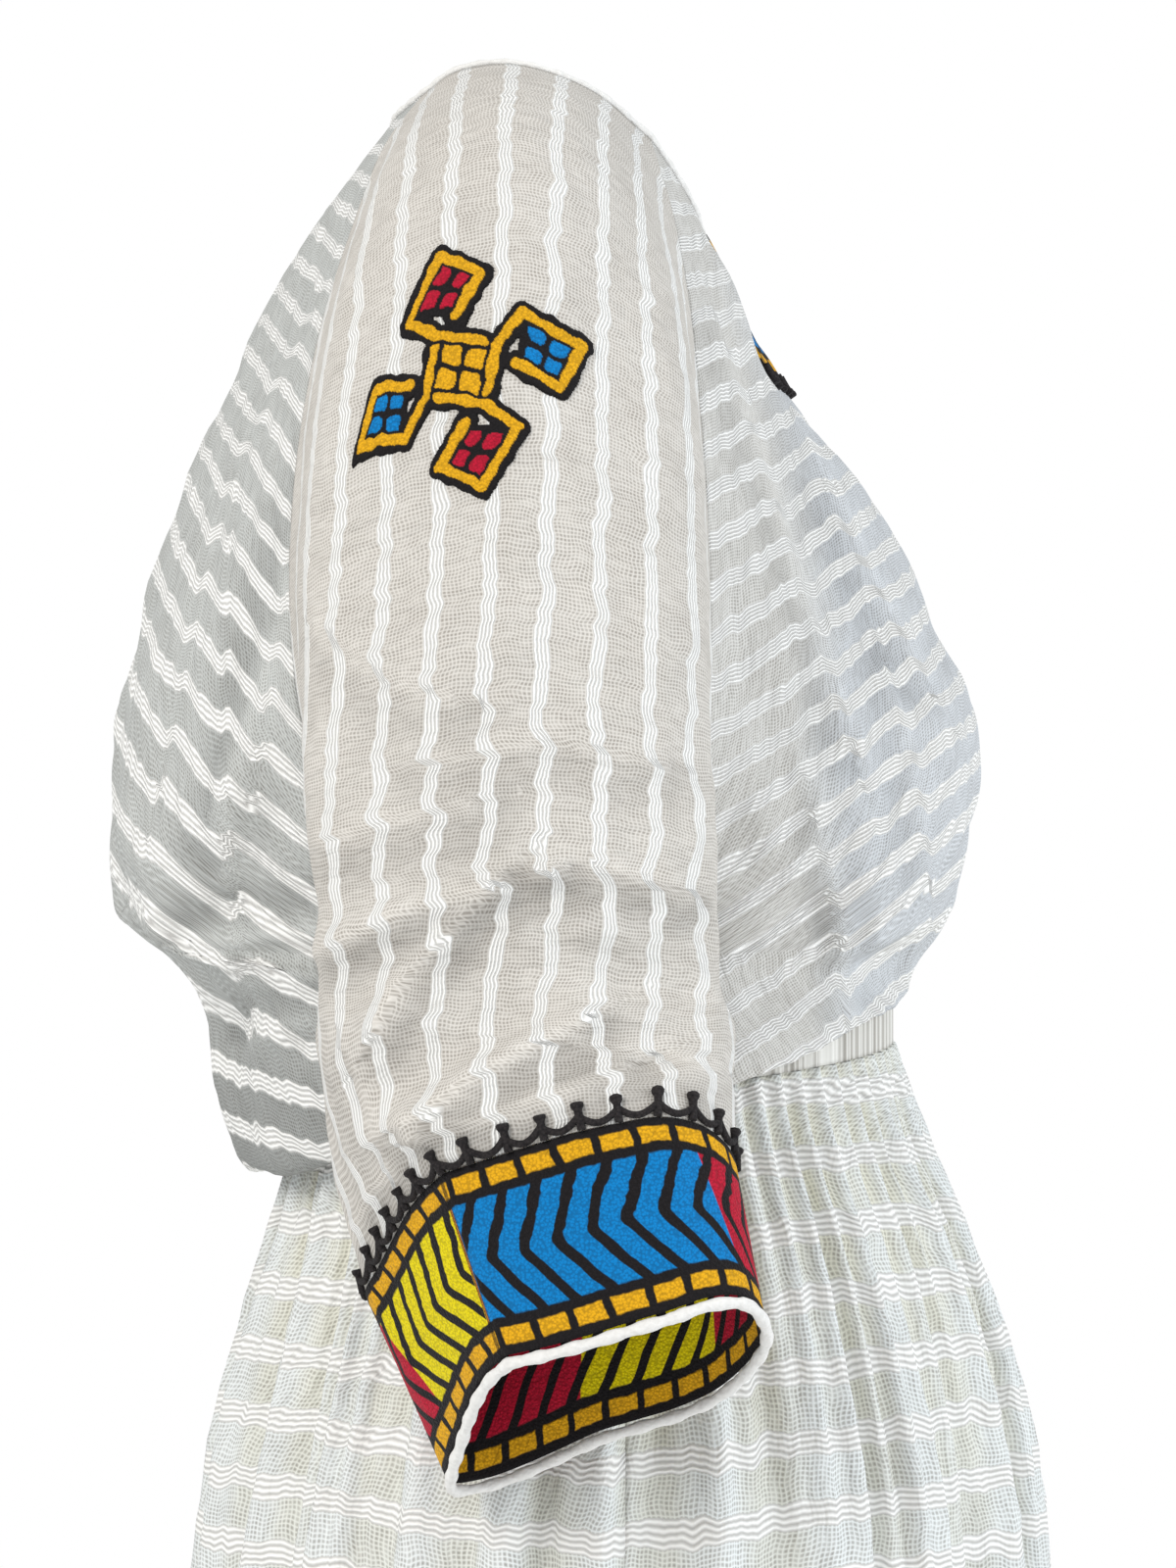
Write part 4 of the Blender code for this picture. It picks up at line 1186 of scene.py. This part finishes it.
# Narrow folds of the lower sleeve, over the wide ones.
SLEEVE_FOLDS = [
    Crease(0.078, -0.372, 0.038, -0.354, -0.01, -0.3405, 0.005, 0.0033),
    Crease(-0.01, -0.3405, -0.037, -0.3405, -0.062, -0.349, 0.005, 0.003),
    Crease(0.052, -0.398, 0.04, -0.378, 0.01, -0.348, 0.005, 0.0032),
    Crease(0.042, -0.432, 0.017, -0.415, -0.022, -0.396, 0.005, 0.0033),
    Crease(0.066, -0.482, 0.054, -0.459, 0.038, -0.438, 0.005, 0.0033),
    Crease(0.038, -0.438, 0.002, -0.4255, -0.037, -0.412, 0.0045, 0.003),
    Crease(-0.023, -0.404, -0.05, -0.4066, -0.072, -0.414, 0.0045, 0.0024),
    Crease(0.074, -0.33, 0.048, -0.322, 0.02, -0.316, 0.0063, 0.0022),
    Crease(0.06, -0.42, 0.052, -0.44, 0.046, -0.462, 0.005, -0.0019),
    Crease(0.03, -0.3, -0.01, -0.292, -0.05, -0.3, 0.0063, 0.0017),
    Crease(0.076, -0.25, 0.05, -0.27, 0.026, -0.276, 0.0063, 0.0014),
]


def window(count, sharp=0.5):
    """0 at both ends and 1 between."""
    return np.clip(np.sin(math.pi * np.arange(count) / (count - 1)), 0, 1) ** sharp


# The cloth's unevenness: how far it stands out, how close it is, and the seed of its waves.
Ripple = namedtuple("Ripple", "rise scale seed")
FRONT_RIPPLES = [Ripple(0.0022, 95, 5), Ripple(0.0006, 330, 15)]
BACK_RIPPLES = [Ripple(0.0022, 95, 6), Ripple(0.0006, 330, 15)]
SLEEVE_RIPPLES = [Ripple(0.0013, 85, 7), Ripple(0.0005, 330, 17)]
SKIRT_RIPPLES = [Ripple(0.0018, (60, 60, 24), 11), Ripple(0.0004, 300, 12)]
SKIRT_SAG = [Ripple(0.004, (22, 22, 4), 13)]


def ripples(spots, table):
    return sum(ripple.rise * smooth_noise(spots * ripple.scale, ripple.seed) for ripple in table)


# How far to the front the painted warm light reaches before the painted bluish shade, at heights from low to
# high, and how softly it ends.
CREASE_BORDER = [
    (-0.400, -0.350, -0.300, -0.242, -0.163, -0.095),
    (-0.118, -0.114, -0.110, -0.114, -0.099, -0.078),
]
BORDER_SOFT = 0.022
BORDER_SHARE = 0.15
# The back's lower edge, where it turns in under the blouson and gets a darker painted shade.
UNDER_Z = -0.385
UNDER_SOFT = 0.05
UNDER_SHADE = 0.66
SLEEVE_END_ROWS = 6


def front_looks(fine):
    """Where the stripes run over the front panel, and its tint: painted warm light by the sleeve, painted
    bluish shade further to the front.
    """
    _, y, z = np.moveaxis(fine, -1, 0)
    up = -(z + FRONT_LEAN * (y - FRONT_STRIPES_Y)) / STRIPE_FRONT + slips(fine, FRONT_FOLDS)
    border = np.interp(z, *CREASE_BORDER)
    painted_shade_share = np.clip((border - y) / BORDER_SOFT + BORDER_SHARE, 0, 1)[..., None]
    return up, FRONT_PAINTED_LIGHT * (1 - painted_shade_share) + FRONT_PAINTED_SHADE * painted_shade_share


def back_looks(fine):
    """Where the stripes run over the back panel, and its tint: a painted shade, darker still where it turns
    in under the blouson.
    """
    _, y, z = np.moveaxis(fine, -1, 0)
    lean = np.clip(BACK_LEAN + (z - BACK_LEAN_Z) * BACK_LEAN_FALL, *BACK_LEAN_RANGE)
    up = (lean * (y - BACK_STRIPES_Y) - z) / STRIPE_BACK - slips(fine, BACK_SLIPS)
    below = np.clip((UNDER_Z - z) / UNDER_SOFT, 0, 1)[..., None]
    return up, BACK_PAINTED_SHADE * (1 - below * (1 - UNDER_SHADE))


def make_panel(name, grid, sign, finish):
    front = name == "bodice_front"
    fine = finer(grid, FINE_DOWN, FINE_ACROSS, split=UNDERARM)
    normal = normals_of(fine, sign)
    rows, columns = fine.shape[:2]
    lift, _ = folds(fine, normal, BODY_FOLDS)
    creases, trough = folds(fine, normal, FRONT_FOLDS if front else BACK_FOLDS)
    lift += creases + ripples(fine, FRONT_RIPPLES if front else BACK_RIPPLES)
    if front:
        lift += neck_fold(fine)
    fine = fine + normal * (lift * (window(columns) * window(rows)[:, None]))[..., None]
    normal = normals_of(fine, sign)
    up, tint = front_looks(fine) if front else back_looks(fine)
    # Painted shade in the folds' troughs and painted highlight on their ridges.
    tint = tint * (1 - FOLD_SHADE * trough)[..., None]
    uv = np.stack([up, row_lengths(fine, 1) / STRIPE_BODY], axis=-1)
    return fine, normal, cotton_cloth(name, fine, normal, sign, uv, finish, tint)


def make_sleeve(name, grid, sign, finish):
    fine = finer(
        grid, FINE_DOWN, SLEEVE_ACROSS, split=UNDERARM, closed_from=UNDERARM, ridge_rows=SLEEVE_RIDGE_ROWS
    )
    normal = normals_of(fine, sign)
    rows, columns = fine.shape[:2]
    row = np.arange(rows)
    edge = np.minimum(1, window(columns) + (row > UNDERARM * FINE_DOWN)[:, None])
    edge = edge * (np.clip((rows - 1 - row) / SLEEVE_END_ROWS, 0, 1) * window(rows))[:, None]
    creases, trough = folds(fine, normal, SLEEVE_FOLDS)
    lift = ripples(fine, SLEEVE_RIPPLES) + creases
    fine = fine + normal * (lift * edge)[..., None]
    normal = normals_of(fine, sign)
    middle = columns // 2
    around = row_lengths(fine, 1)
    around = around - around[:, middle][:, None]
    down = row_lengths(fine, 0)[:, middle][:, None] * np.ones(columns)
    jog = SLEEVE_SLIP * slips(fine, SLEEVE_FOLDS)
    uv = np.stack([around / STRIPE_SLEEVE + jog, down / STRIPE_SLEEVE], axis=-1)
    # The sleeve's own warm tint, with painted shade in the folds' troughs and painted highlight on their
    # ridges.
    tint = even_tint(fine.shape, WARM) * (1 - FOLD_SHADE * trough)[..., None]
    return fine, normal, cotton_cloth(name, fine, normal, sign, uv, finish, tint)


def make_bodice(sleeve_finish, front_finish, back_finish):
    """Each piece of the bodice by name: its fine grid, its normals and its object."""
    made = {}
    makers = (
        ("bodice_front", make_panel, front_finish),
        ("bodice_back", make_panel, back_finish),
        ("sleeve_right", make_sleeve, sleeve_finish),
        ("sleeve_left", make_sleeve, sleeve_finish),
    )
    for (name, maker, finish), grid, sign in zip(makers, *body_grids()):
        made[name] = maker(name, grid, sign, finish)
    return made


# The skirt's small gathers: where they end below the casing, how they stand out and how they wander.
GATHER_REACH = 0.25
GATHER_RISE = 0.0034
GATHER_SHARE = 0.75
GATHER_WANDER, GATHER_WANDERS = 0.6, 9
# A fold's valley gets a painted shade, a little darker and cream near the casing, and its crest stays
# lighter, by how far it stands out from the columns around it.
VALLEY_COLUMNS = 12
CREST_REACH = 0.0045
PALE_VALLEY = 0.9
CREAM_TOP, CREAM_LEAST = 1.15, 0.25


def smoothed(grid, reach):
    """The running mean of each row over reach columns to either side."""
    count = 2 * reach + 1
    rows = [np.pad(row, reach, mode="reflect") for row in grid]
    return np.stack([np.convolve(row, np.ones(count) / count, "valid") for row in rows])


# Painted shade: a fold's valley is darker than its crest, and cream, most of all near the casing.
def skirt_tint(fine, below):
    out = np.hypot(fine[..., 0], fine[..., 1] - WAIST_Y)
    crest = np.clip(0.5 + (out - smoothed(out, VALLEY_COLUMNS)) / CREST_REACH, 0, 1)[..., None]
    near = np.clip(CREAM_TOP - below, CREAM_LEAST, 1)[..., None]
    valley = SKIRT_PAINTED_CREAM_SHADE * near + PALE * PALE_VALLEY * (1 - near)
    return valley * (1 - crest) + PALE * crest


def make_skirt(finish):
    for name, front in (("skirt_front", True), ("skirt_back", False)):
        fine = finer(skirt_grid(front), SKIRT_DOWN, SKIRT_ACROSS)
        normal = normals_of(fine, 1)
        rows, columns = fine.shape[:2]
        turn = (np.arange(columns) / (columns - 1) + (0 if front else 1)) / 2
        below = np.clip((WAIST_Z - BAND_HEIGHT - fine[..., 2]) / GATHER_REACH, 0, 1)
        wander = GATHER_WANDER * np.sin(GATHER_WANDERS * FULL_TURN * turn)
        gathers = np.sin(FULL_TURN * (GATHERS * GATHER_SHARE * turn + wander))
        lift = ripples(fine, SKIRT_RIPPLES) + GATHER_RISE * gathers * np.sin(math.pi * below) ** 0.6
        fine = fine + normal * (lift * window(columns) * window(rows)[:, None])[..., None]
        fine[0, :, 2] += SEAM_GAP * 0.9
        normal = normals_of(fine, 1)
        sag = ripples(fine, SKIRT_SAG)
        uv = np.stack([sag - fine[..., 2], row_lengths(fine, 1)], axis=-1) / STRIPE_SKIRT
        skirt = cotton_cloth(name, fine, normal, 1, uv, finish, skirt_tint(fine, below))
        declare(fine)


def make_casing(finish):
    fine = finer(band_grid(), CASING_DOWN, CASING_ACROSS, closed_from=0)
    normal = normals_of(fine, 1, closed=True)
    side = row_lengths(fine, 1)
    uv = np.stack([np.zeros_like(side), side / CASING_PITCH], axis=-1)
    tint = even_tint(fine.shape, CASING)
    casing = cotton_cloth("waist_casing", fine, normal, 1, uv, finish, tint, CASING_CLOTH, closed=True)
    declare(fine)


# Cuffs

CUFF_OUTER = 0.0004
CUFF_INNER = 0.0010
# The band's colour zones start this far before the corner ridge.
RIDGE_LAP = 0.004


def make_cuff(side, label, finish):
    grid = finer(cuff_grid(side), CUFF_DOWN, CUFF_ACROSS, closed_from=0, ridge_rows=CUFF_RIDGE_ROWS)
    normal = normals_of(grid, side, closed=True)
    around = row_lengths(grid, 1)
    total = around[:, -1:]
    along = (around[:, RIDGE_COLUMN * CUFF_ACROSS][:, None] - around) % total
    along = np.where(along > total - RIDGE_LAP, along - total, along)
    down = row_lengths(grid, 0)
    uv = np.stack([along, down * BAND_DEPTH / down[-1:]], axis=-1)
    cuff = cloth_object(
        "cuff_" + label + "_band", grid + normal * CUFF_OUTER, grid - normal * CUFF_INNER, side, uv,
        finish, ["cuff_" + label], closed=True,
    )
    return cuff, grid


# Edges and picots

PICOTS = 29
PICOT_LIFT = 0.0010
PICOT_RADIUS = 0.0015
POST_REACH = 0.0098
FESTOON_TOP, FESTOON_DIP = 0.0050, 0.0012
# A post's shape: shares of its reach, and shares of its radius there.
KNOB = [(0.0, 1.1), (0.45, 1.0), (0.70, 1.05), (0.84, 1.6), (0.96, 1.65), (1.0, 1.3)]
POST_STRAY = 0.06
POST_LEAN = 0.08
FESTOON_STEPS = 9
FESTOON_RADIUS = 0.9
ROLL_UNEVEN = 0.14


def tube(name, lines, radius, finish, nodes, closed=False, resolution=2):
    """Round cords along lines of (x, y, z) or (x, y, z, share of the radius)."""
    curve = bpy.data.curves.new(name, "CURVE")
    curve.dimensions = "3D"
    curve.bevel_depth = radius
    curve.bevel_resolution = resolution
    curve.use_fill_caps = not closed
    for line in lines:
        spline = curve.splines.new("POLY")
        spline.points.add(len(line) - 1)
        for point, spot in zip(spline.points, line):
            point.co = (*spot[:3], 1.0)
            point.radius = spot[3] if len(spot) > 3 else 1.0
        spline.use_cyclic_u = closed
        spline.use_smooth = True
    return placed_piece(name, curve, finish, nodes)


def read_grid(grid, row, column):
    """A value between a grid's points."""
    r = min(max(row, 0), grid.shape[0] - 1.001)
    c = min(max(column, 0), grid.shape[1] - 1.001)
    i, j = int(r), int(c)
    p, q = r - i, c - j
    near = grid[i, j] * (1 - p) * (1 - q) + grid[i + 1, j] * p * (1 - q)
    return near + grid[i, j + 1] * (1 - p) * q + grid[i + 1, j + 1] * p * q


def above_edge(cloth, normal, share, height, lift):
    """A point on the sleeve, a share of the way round it and at a height above its lower edge."""
    rows, columns = cloth.shape[:2]
    column = share % 1.0 * (columns - 1)
    line = cloth[:, int(round(column))]
    lengths = np.concatenate([[0], np.cumsum(np.linalg.norm(np.diff(line[::-1], axis=0), axis=1))])
    row = rows - 1 - np.interp(height, lengths, np.arange(rows))
    return read_grid(cloth, row, column) + read_grid(normal, row, column) * lift


def cuff_picots(label, cloth, normal, finish):
    """Little posts with knobs, and a chain that hangs in arcs from post to post."""
    chance = np.random.default_rng(4)
    lines = []
    for n in range(PICOTS):
        share = (n + chance.uniform(-POST_STRAY, POST_STRAY)) / PICOTS
        lean = chance.uniform(-POST_LEAN, POST_LEAN) / PICOTS
        reach = POST_REACH * chance.uniform(0.9, 1.08)
        lines.append([
            (*above_edge(cloth, normal, share + lean * up, reach * up, PICOT_LIFT), size)
            for up, size in KNOB
        ])
        arc = []
        for step in np.linspace(0, 1, FESTOON_STEPS):
            height = FESTOON_DIP + (FESTOON_TOP - FESTOON_DIP) * abs(2 * step - 1) ** 1.8
            spot = above_edge(cloth, normal, (n + step) / PICOTS, height, PICOT_LIFT)
            arc.append((*spot, FESTOON_RADIUS))
        lines.append(arc)
    return tube("cuff_" + label + "_picots", lines, PICOT_RADIUS, finish, [])


def uneven_roll(name, line, radius, finish, node, seed):
    """A rolled edge, a little thicker and thinner along its length."""
    chance = np.random.default_rng(seed)
    thick = 1 + ROLL_UNEVEN * np.sin(np.arange(len(line)) * 0.9 + chance.uniform(0, 6, len(line)) * 0.25)
    spots = [(*spot, size) for spot, size in zip(line, thick)]
    return tube(name, [spots], radius, finish, [node], closed=True, resolution=3)


def neck_edge(body):
    """The neckline all round, just beyond the cloth's edge."""
    rings = []
    pieces = ("bodice_front", "sleeve_left", "bodice_back", "sleeve_right")
    for row in (0, 4):
        front, left, back, right = (body[name][0][row] for name in pieces)
        rings.append(np.vstack([front, left[1:-1], back[::-1], right[::-1][1:-1]])[::2])
    return beyond(*rings, NECK_ROLL_RADIUS + ROLL_CLEAR)


# The embroidered cross

# One gold strip, from the core round the box at an arm's end. The others are turned by quarters.
STRIP = [
    (0.0092, 0.0102), (-0.0088, 0.0136), (-0.0214, 0.0228),
    (-0.0085, 0.0452), (0.0075, 0.0372), (-0.0022, 0.0205),
]
STRIP_HALF = 0.0019
OUTLINE = 0.0031
INNER_LINE = 0.0012
CELL_LINE = 0.0010
CELL_ROUND = 0.0017
CROSS_REACH = 0.058
CROSS_STEP = 0.00042
CROSS_START = 0.5
CROSS_UNDER = 0.0006
CROSS_RIM = -0.0002
STITCH_RISE = 0.0007
STITCH_WOBBLE = 0.0004
CELL_EDGE = 0.0012


def depth_inside(spots, corners):
    """How far each flat spot lies inside a convex outline, negative outside."""
    corners = np.array(corners)
    centre = corners.mean(axis=0)
    depth = np.full(spots.shape[:-1], np.inf)
    for start, end in zip(corners, np.roll(corners, -1, axis=0)):
        along = (end - start) / np.linalg.norm(end - start)
        across = np.array([-along[1], along[0]])
        if (centre - start) @ across < 0:
            across = -across
        depth = np.minimum(depth, (spots - start) @ across)
    return depth


def quartered(spots, corners, rim):
    """How far each spot lies inside one of the four rounded cells of a box."""
    a, b, c, d = np.array(corners)
    inside = depth_inside(spots, corners) - rim
    cells = [inside]
    for start, end in (((a + b) / 2, (c + d) / 2), ((b + c) / 2, (d + a) / 2)):
        along = (end - start) / np.linalg.norm(end - start)
        cells.append(abs((spots - start) @ np.array([-along[1], along[0]])) - CELL_LINE)
    short = sum(np.maximum(CELL_ROUND - cell, 0) ** 2 for cell in cells)
    return CELL_ROUND - np.sqrt(short)


def cross_pattern(spots):
    """For flat spots: whether the cross covers them, their colour, and how far the stitches stand."""
    strips = np.full(spots.shape[:-1], np.inf)
    covered = np.zeros(spots.shape[:-1], bool)
    colour = np.broadcast_to(BLACK, spots.shape[:-1] + (3,)).copy()
    rise = np.full(spots.shape[:-1], 0.35)
    cells = []
    for step in range(4):
        strip = turned(STRIP, -90 * step)
        strips = np.minimum(strips, to_polyline(spots, strip))
        box = strip[2:]
        covered |= depth_inside(spots, box) > 0
        cells.append((quartered(spots, box, STRIP_HALF + INNER_LINE), RED if step % 2 == 0 else BLUE))
    core = [turned(STRIP[1:2], -90 * step)[0] for step in range(4)]
    covered |= depth_inside(spots, core) > 0
    cells.append((quartered(spots, core, STRIP_HALF + INNER_LINE), GOLD))
    covered |= strips < STRIP_HALF + OUTLINE
    rim = np.clip((STRIP_HALF + OUTLINE - strips) / OUTLINE, 0, 1)
    rise = np.where(strips > STRIP_HALF, 0.30 + 0.45 * np.sin(math.pi * rim), rise)
    for depth, tone in cells:
        colour[depth > 0] = tone
        rise = np.where(depth > 0, 0.45 + 0.5 * np.clip(depth / CELL_EDGE, 0, 1) ** 0.5, rise)
    on_strip = strips < STRIP_HALF
    colour[on_strip] = GOLD
    rise = np.where(on_strip, 0.5 + 0.5 * np.sqrt(np.clip(1 - (strips / STRIP_HALF) ** 2, 0, 1)), rise)
    return covered, colour, rise * STITCH_RISE


def make_cross(side, label, sleeve, finish):
    """The cross's flat pattern sent across to the sleeve, thin at its rim and raised within."""
    graph = bpy.context.evaluated_depsgraph_get()
    cloth = BVHTree.FromObject(sleeve, graph)
    ticks = np.arange(-CROSS_REACH, CROSS_REACH, CROSS_STEP)
    flat = np.stack(np.meshgrid(ticks, ticks, indexing="ij"), axis=-1)
    wobble = STITCH_WOBBLE * np.stack([smooth_noise(flat * STITCH_SCALE, seed) for seed in (31, 32)], axis=-1)
    covered, colour, rise = cross_pattern(flat + wobble)
    grain = np.random.default_rng(9).uniform(0.8, 1.1, covered.shape)
    number = -np.ones(covered.shape, int)
    points, tones = [], []
    for i, j in zip(*np.nonzero(covered)):
        p, q = draped(flat[i, j])
        start = Vector((side * CROSS_START, CROSS_Y - p, CROSS_Z + q))
        place, normal, _, _ = cloth.ray_cast(start, Vector((-side, 0, 0)))
        inner = covered[max(i - 1, 0): i + 2, max(j - 1, 0): j + 2].all()
        lift = CROSS_UNDER + rise[i, j] if inner else CROSS_RIM
        number[i, j] = len(points)
        points.append(place + normal * lift)
        tones.append((*(colour[i, j] * grain[i, j]), 1.0))
    quads = quads_of(number)
    quads = quads[(quads >= 0).all(axis=1)][:, ::side]
    mesh = bpy.data.meshes.new("cross_" + label)
    mesh.from_pydata([tuple(p) for p in points], [], quads.tolist())
    shade = mesh.color_attributes.new(name="thread", type="FLOAT_COLOR", domain="POINT")
    shade.data.foreach_set("color", np.array(tones).ravel())
    mesh.shade_smooth()
    return placed_piece("cross_" + label + "_stitches", mesh, finish, ["cross_" + label])


BIB_UNDER = 0.0002
BIB_PICOT_FIRST, BIB_PICOT_EVERY = 2, 5


def make_bib(body, band, black):
    """The panel of embroidery under the neckline, laid on the front."""
    cloth, normal, _ = body["bodice_front"]
    centre = cloth.shape[1] // 2
    half = BIB_HALF_COLUMNS * FINE_ACROSS
    part = np.s_[: BIB_ROWS * FINE_DOWN + 1, centre - half: centre + half + 1]
    cloth, normal = cloth[part], normal[part]
    top = cloth + normal * (BIB_LIFT + BIB_THICK)
    down = row_lengths(cloth, 0)
    across = row_lengths(cloth, 1)
    across = across - across[:, -1:] / 2
    height = (down[-1:] - down) * BAND_DEPTH / down[-1:].max()
    uv = np.stack([across, height], axis=-1)
    panel = cloth_object(
        "neck_bib_panel", top, cloth + normal * BIB_UNDER, 1, uv, band, ["neck_bib"]
    )
    lines = []
    edge, down_way = top[-1], top[-1] - top[-3]
    down_way = down_way / np.linalg.norm(down_way, axis=1, keepdims=True)
    for n in range(BIB_PICOT_FIRST, len(edge) - 1, BIB_PICOT_EVERY):
        start, way = edge[n], down_way[n]
        lines.append([(*(start + way * POST_REACH * up), wide) for up, wide in KNOB])
    picots = tube("neck_bib_picots", lines, PICOT_RADIUS, black, [])
    return panel, picots


# Light, floor and camera

FLOOR_Z = -1.342
FLOOR_REACH = 3.0
SKY_COLOUR = (0.97, 0.99, 1.0, 1.0)
SKY_POWER = 0.67
LAMP_AIM = Vector((0, 0, -0.45))
# Each lamp's name, place, power, size and colour.
LAMPS = [
    ("key", (-2.0, 1.5, 1.1), 44, 1.2, (1.0, 0.98, 0.95)),
    ("front", (-0.8, -2.4, 0.3), 34, 1.5, (0.90, 0.95, 1.0)),
]
FLOOR_COLOUR = (0.97, 0.97, 0.97, 1)
CAMERA_LENS = 89.9
CAMERA_SENSOR = 36
CAMERA_PLACE = (-1.7, -0.0255, -0.3085)


def make_stage():
    mesh = bpy.data.meshes.new("floor")
    corners = [(-FLOOR_REACH, -FLOOR_REACH), (FLOOR_REACH, -FLOOR_REACH)]
    corners += [(-x, -y) for x, y in corners]
    mesh.from_pydata([(x, y, FLOOR_Z) for x, y in corners], [], [(0, 1, 2, 3)])
    floor = linked("floor", mesh)
    pale, _, shader = new_material("pale_floor", 0.9)
    shader.inputs["Base Color"].default_value = FLOOR_COLOUR
    mesh.materials.append(pale)
    floor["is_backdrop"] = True
    make_sky()
    for name, place, power, size, colour in LAMPS:
        light = bpy.data.lights.new(name, "AREA")
        light.energy = power
        light.size = size
        light.color = colour
        lamp = linked(name, light)
        lamp.location = place
        lamp.rotation_euler = (LAMP_AIM - Vector(place)).to_track_quat("-Z", "Y").to_euler()
    bpy.context.scene.view_settings.view_transform = "Standard"


def make_sky():
    """Even soft light all round, and plain white where the camera sees past the dress."""
    world = bpy.data.worlds.new("studio")
    bpy.context.scene.world = world
    world.use_nodes = True
    tree = world.node_tree
    soft = tree.nodes["Background"]
    soft.inputs["Color"].default_value = SKY_COLOUR
    soft.inputs["Strength"].default_value = SKY_POWER
    white = tree.nodes.new("ShaderNodeBackground")
    white.inputs["Strength"].default_value = 1.0
    white.inputs["Color"].default_value = (1, 1, 1, 1)
    rays = tree.nodes.new("ShaderNodeLightPath")
    chosen = tree.nodes.new("ShaderNodeMixShader")
    tree.links.new(rays.outputs["Is Camera Ray"], chosen.inputs[0])
    tree.links.new(soft.outputs[0], chosen.inputs[1])
    tree.links.new(white.outputs[0], chosen.inputs[2])
    tree.links.new(chosen.outputs[0], tree.nodes["World Output"].inputs["Surface"])


def make_camera():
    data = bpy.data.cameras.new("camera")
    data.lens = CAMERA_LENS
    data.sensor_width = CAMERA_SENSOR
    data.sensor_fit = "AUTO"
    camera = linked("camera", data)
    camera.location = CAMERA_PLACE
    camera.rotation_euler = (math.pi / 2, 0, -math.pi / 2)
    bpy.context.scene.camera = camera


def main():
    cloth = gauze("gauze", *SLEEVE_RIBS)
    wide = gauze("gauze_front", *FRONT_RIBS)
    back = gauze("gauze_back", *BACK_RIBS)
    rolled = rolled_cotton()
    band = band_embroidery()
    black = black_stitches()
    body = make_bodice(cloth, wide, back)
    make_skirt(back)
    make_casing(cloth)
    painted = painted_stitches()
    for side, label in ((RIGHT, "right"), (LEFT, "left")):
        cloth_grid, cloth_normal, sleeve = body["sleeve_" + label]
        cuff, cuff_grid_points = make_cuff(side, label, band)
        picots = cuff_picots(label, cloth_grid, cloth_normal, black)
        cross = make_cross(side, label, sleeve, painted)
        line = beyond(cuff_grid_points[-1, :-1], cuff_grid_points[-3, :-1], CUFF_ROLL_RADIUS + ROLL_CLEAR)
        hem = uneven_roll(
            "cuff_hem_" + label + "_roll", line, CUFF_ROLL_RADIUS, rolled, "cuff_hem_" + label, 3
        )
        declare(cloth_grid)
        declare(cuff_grid_points)
    neck = uneven_roll("neck_roll_edge", neck_edge(body), NECK_ROLL_RADIUS, rolled, "neck_roll", 5)
    bib, bib_picots = make_bib(body, band, black)
    for name, sewn_on in (("bodice_front", [bib, bib_picots, neck]), ("bodice_back", ())):
        grid, _, panel = body[name]
        declare(grid)
    make_camera()
    make_stage()


main()
boxes = [[[float(n) for n in corner] for corner in pair] for pair in (cad_bounds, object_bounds())]
{"cad": boxes[0], "scene": boxes[1]}
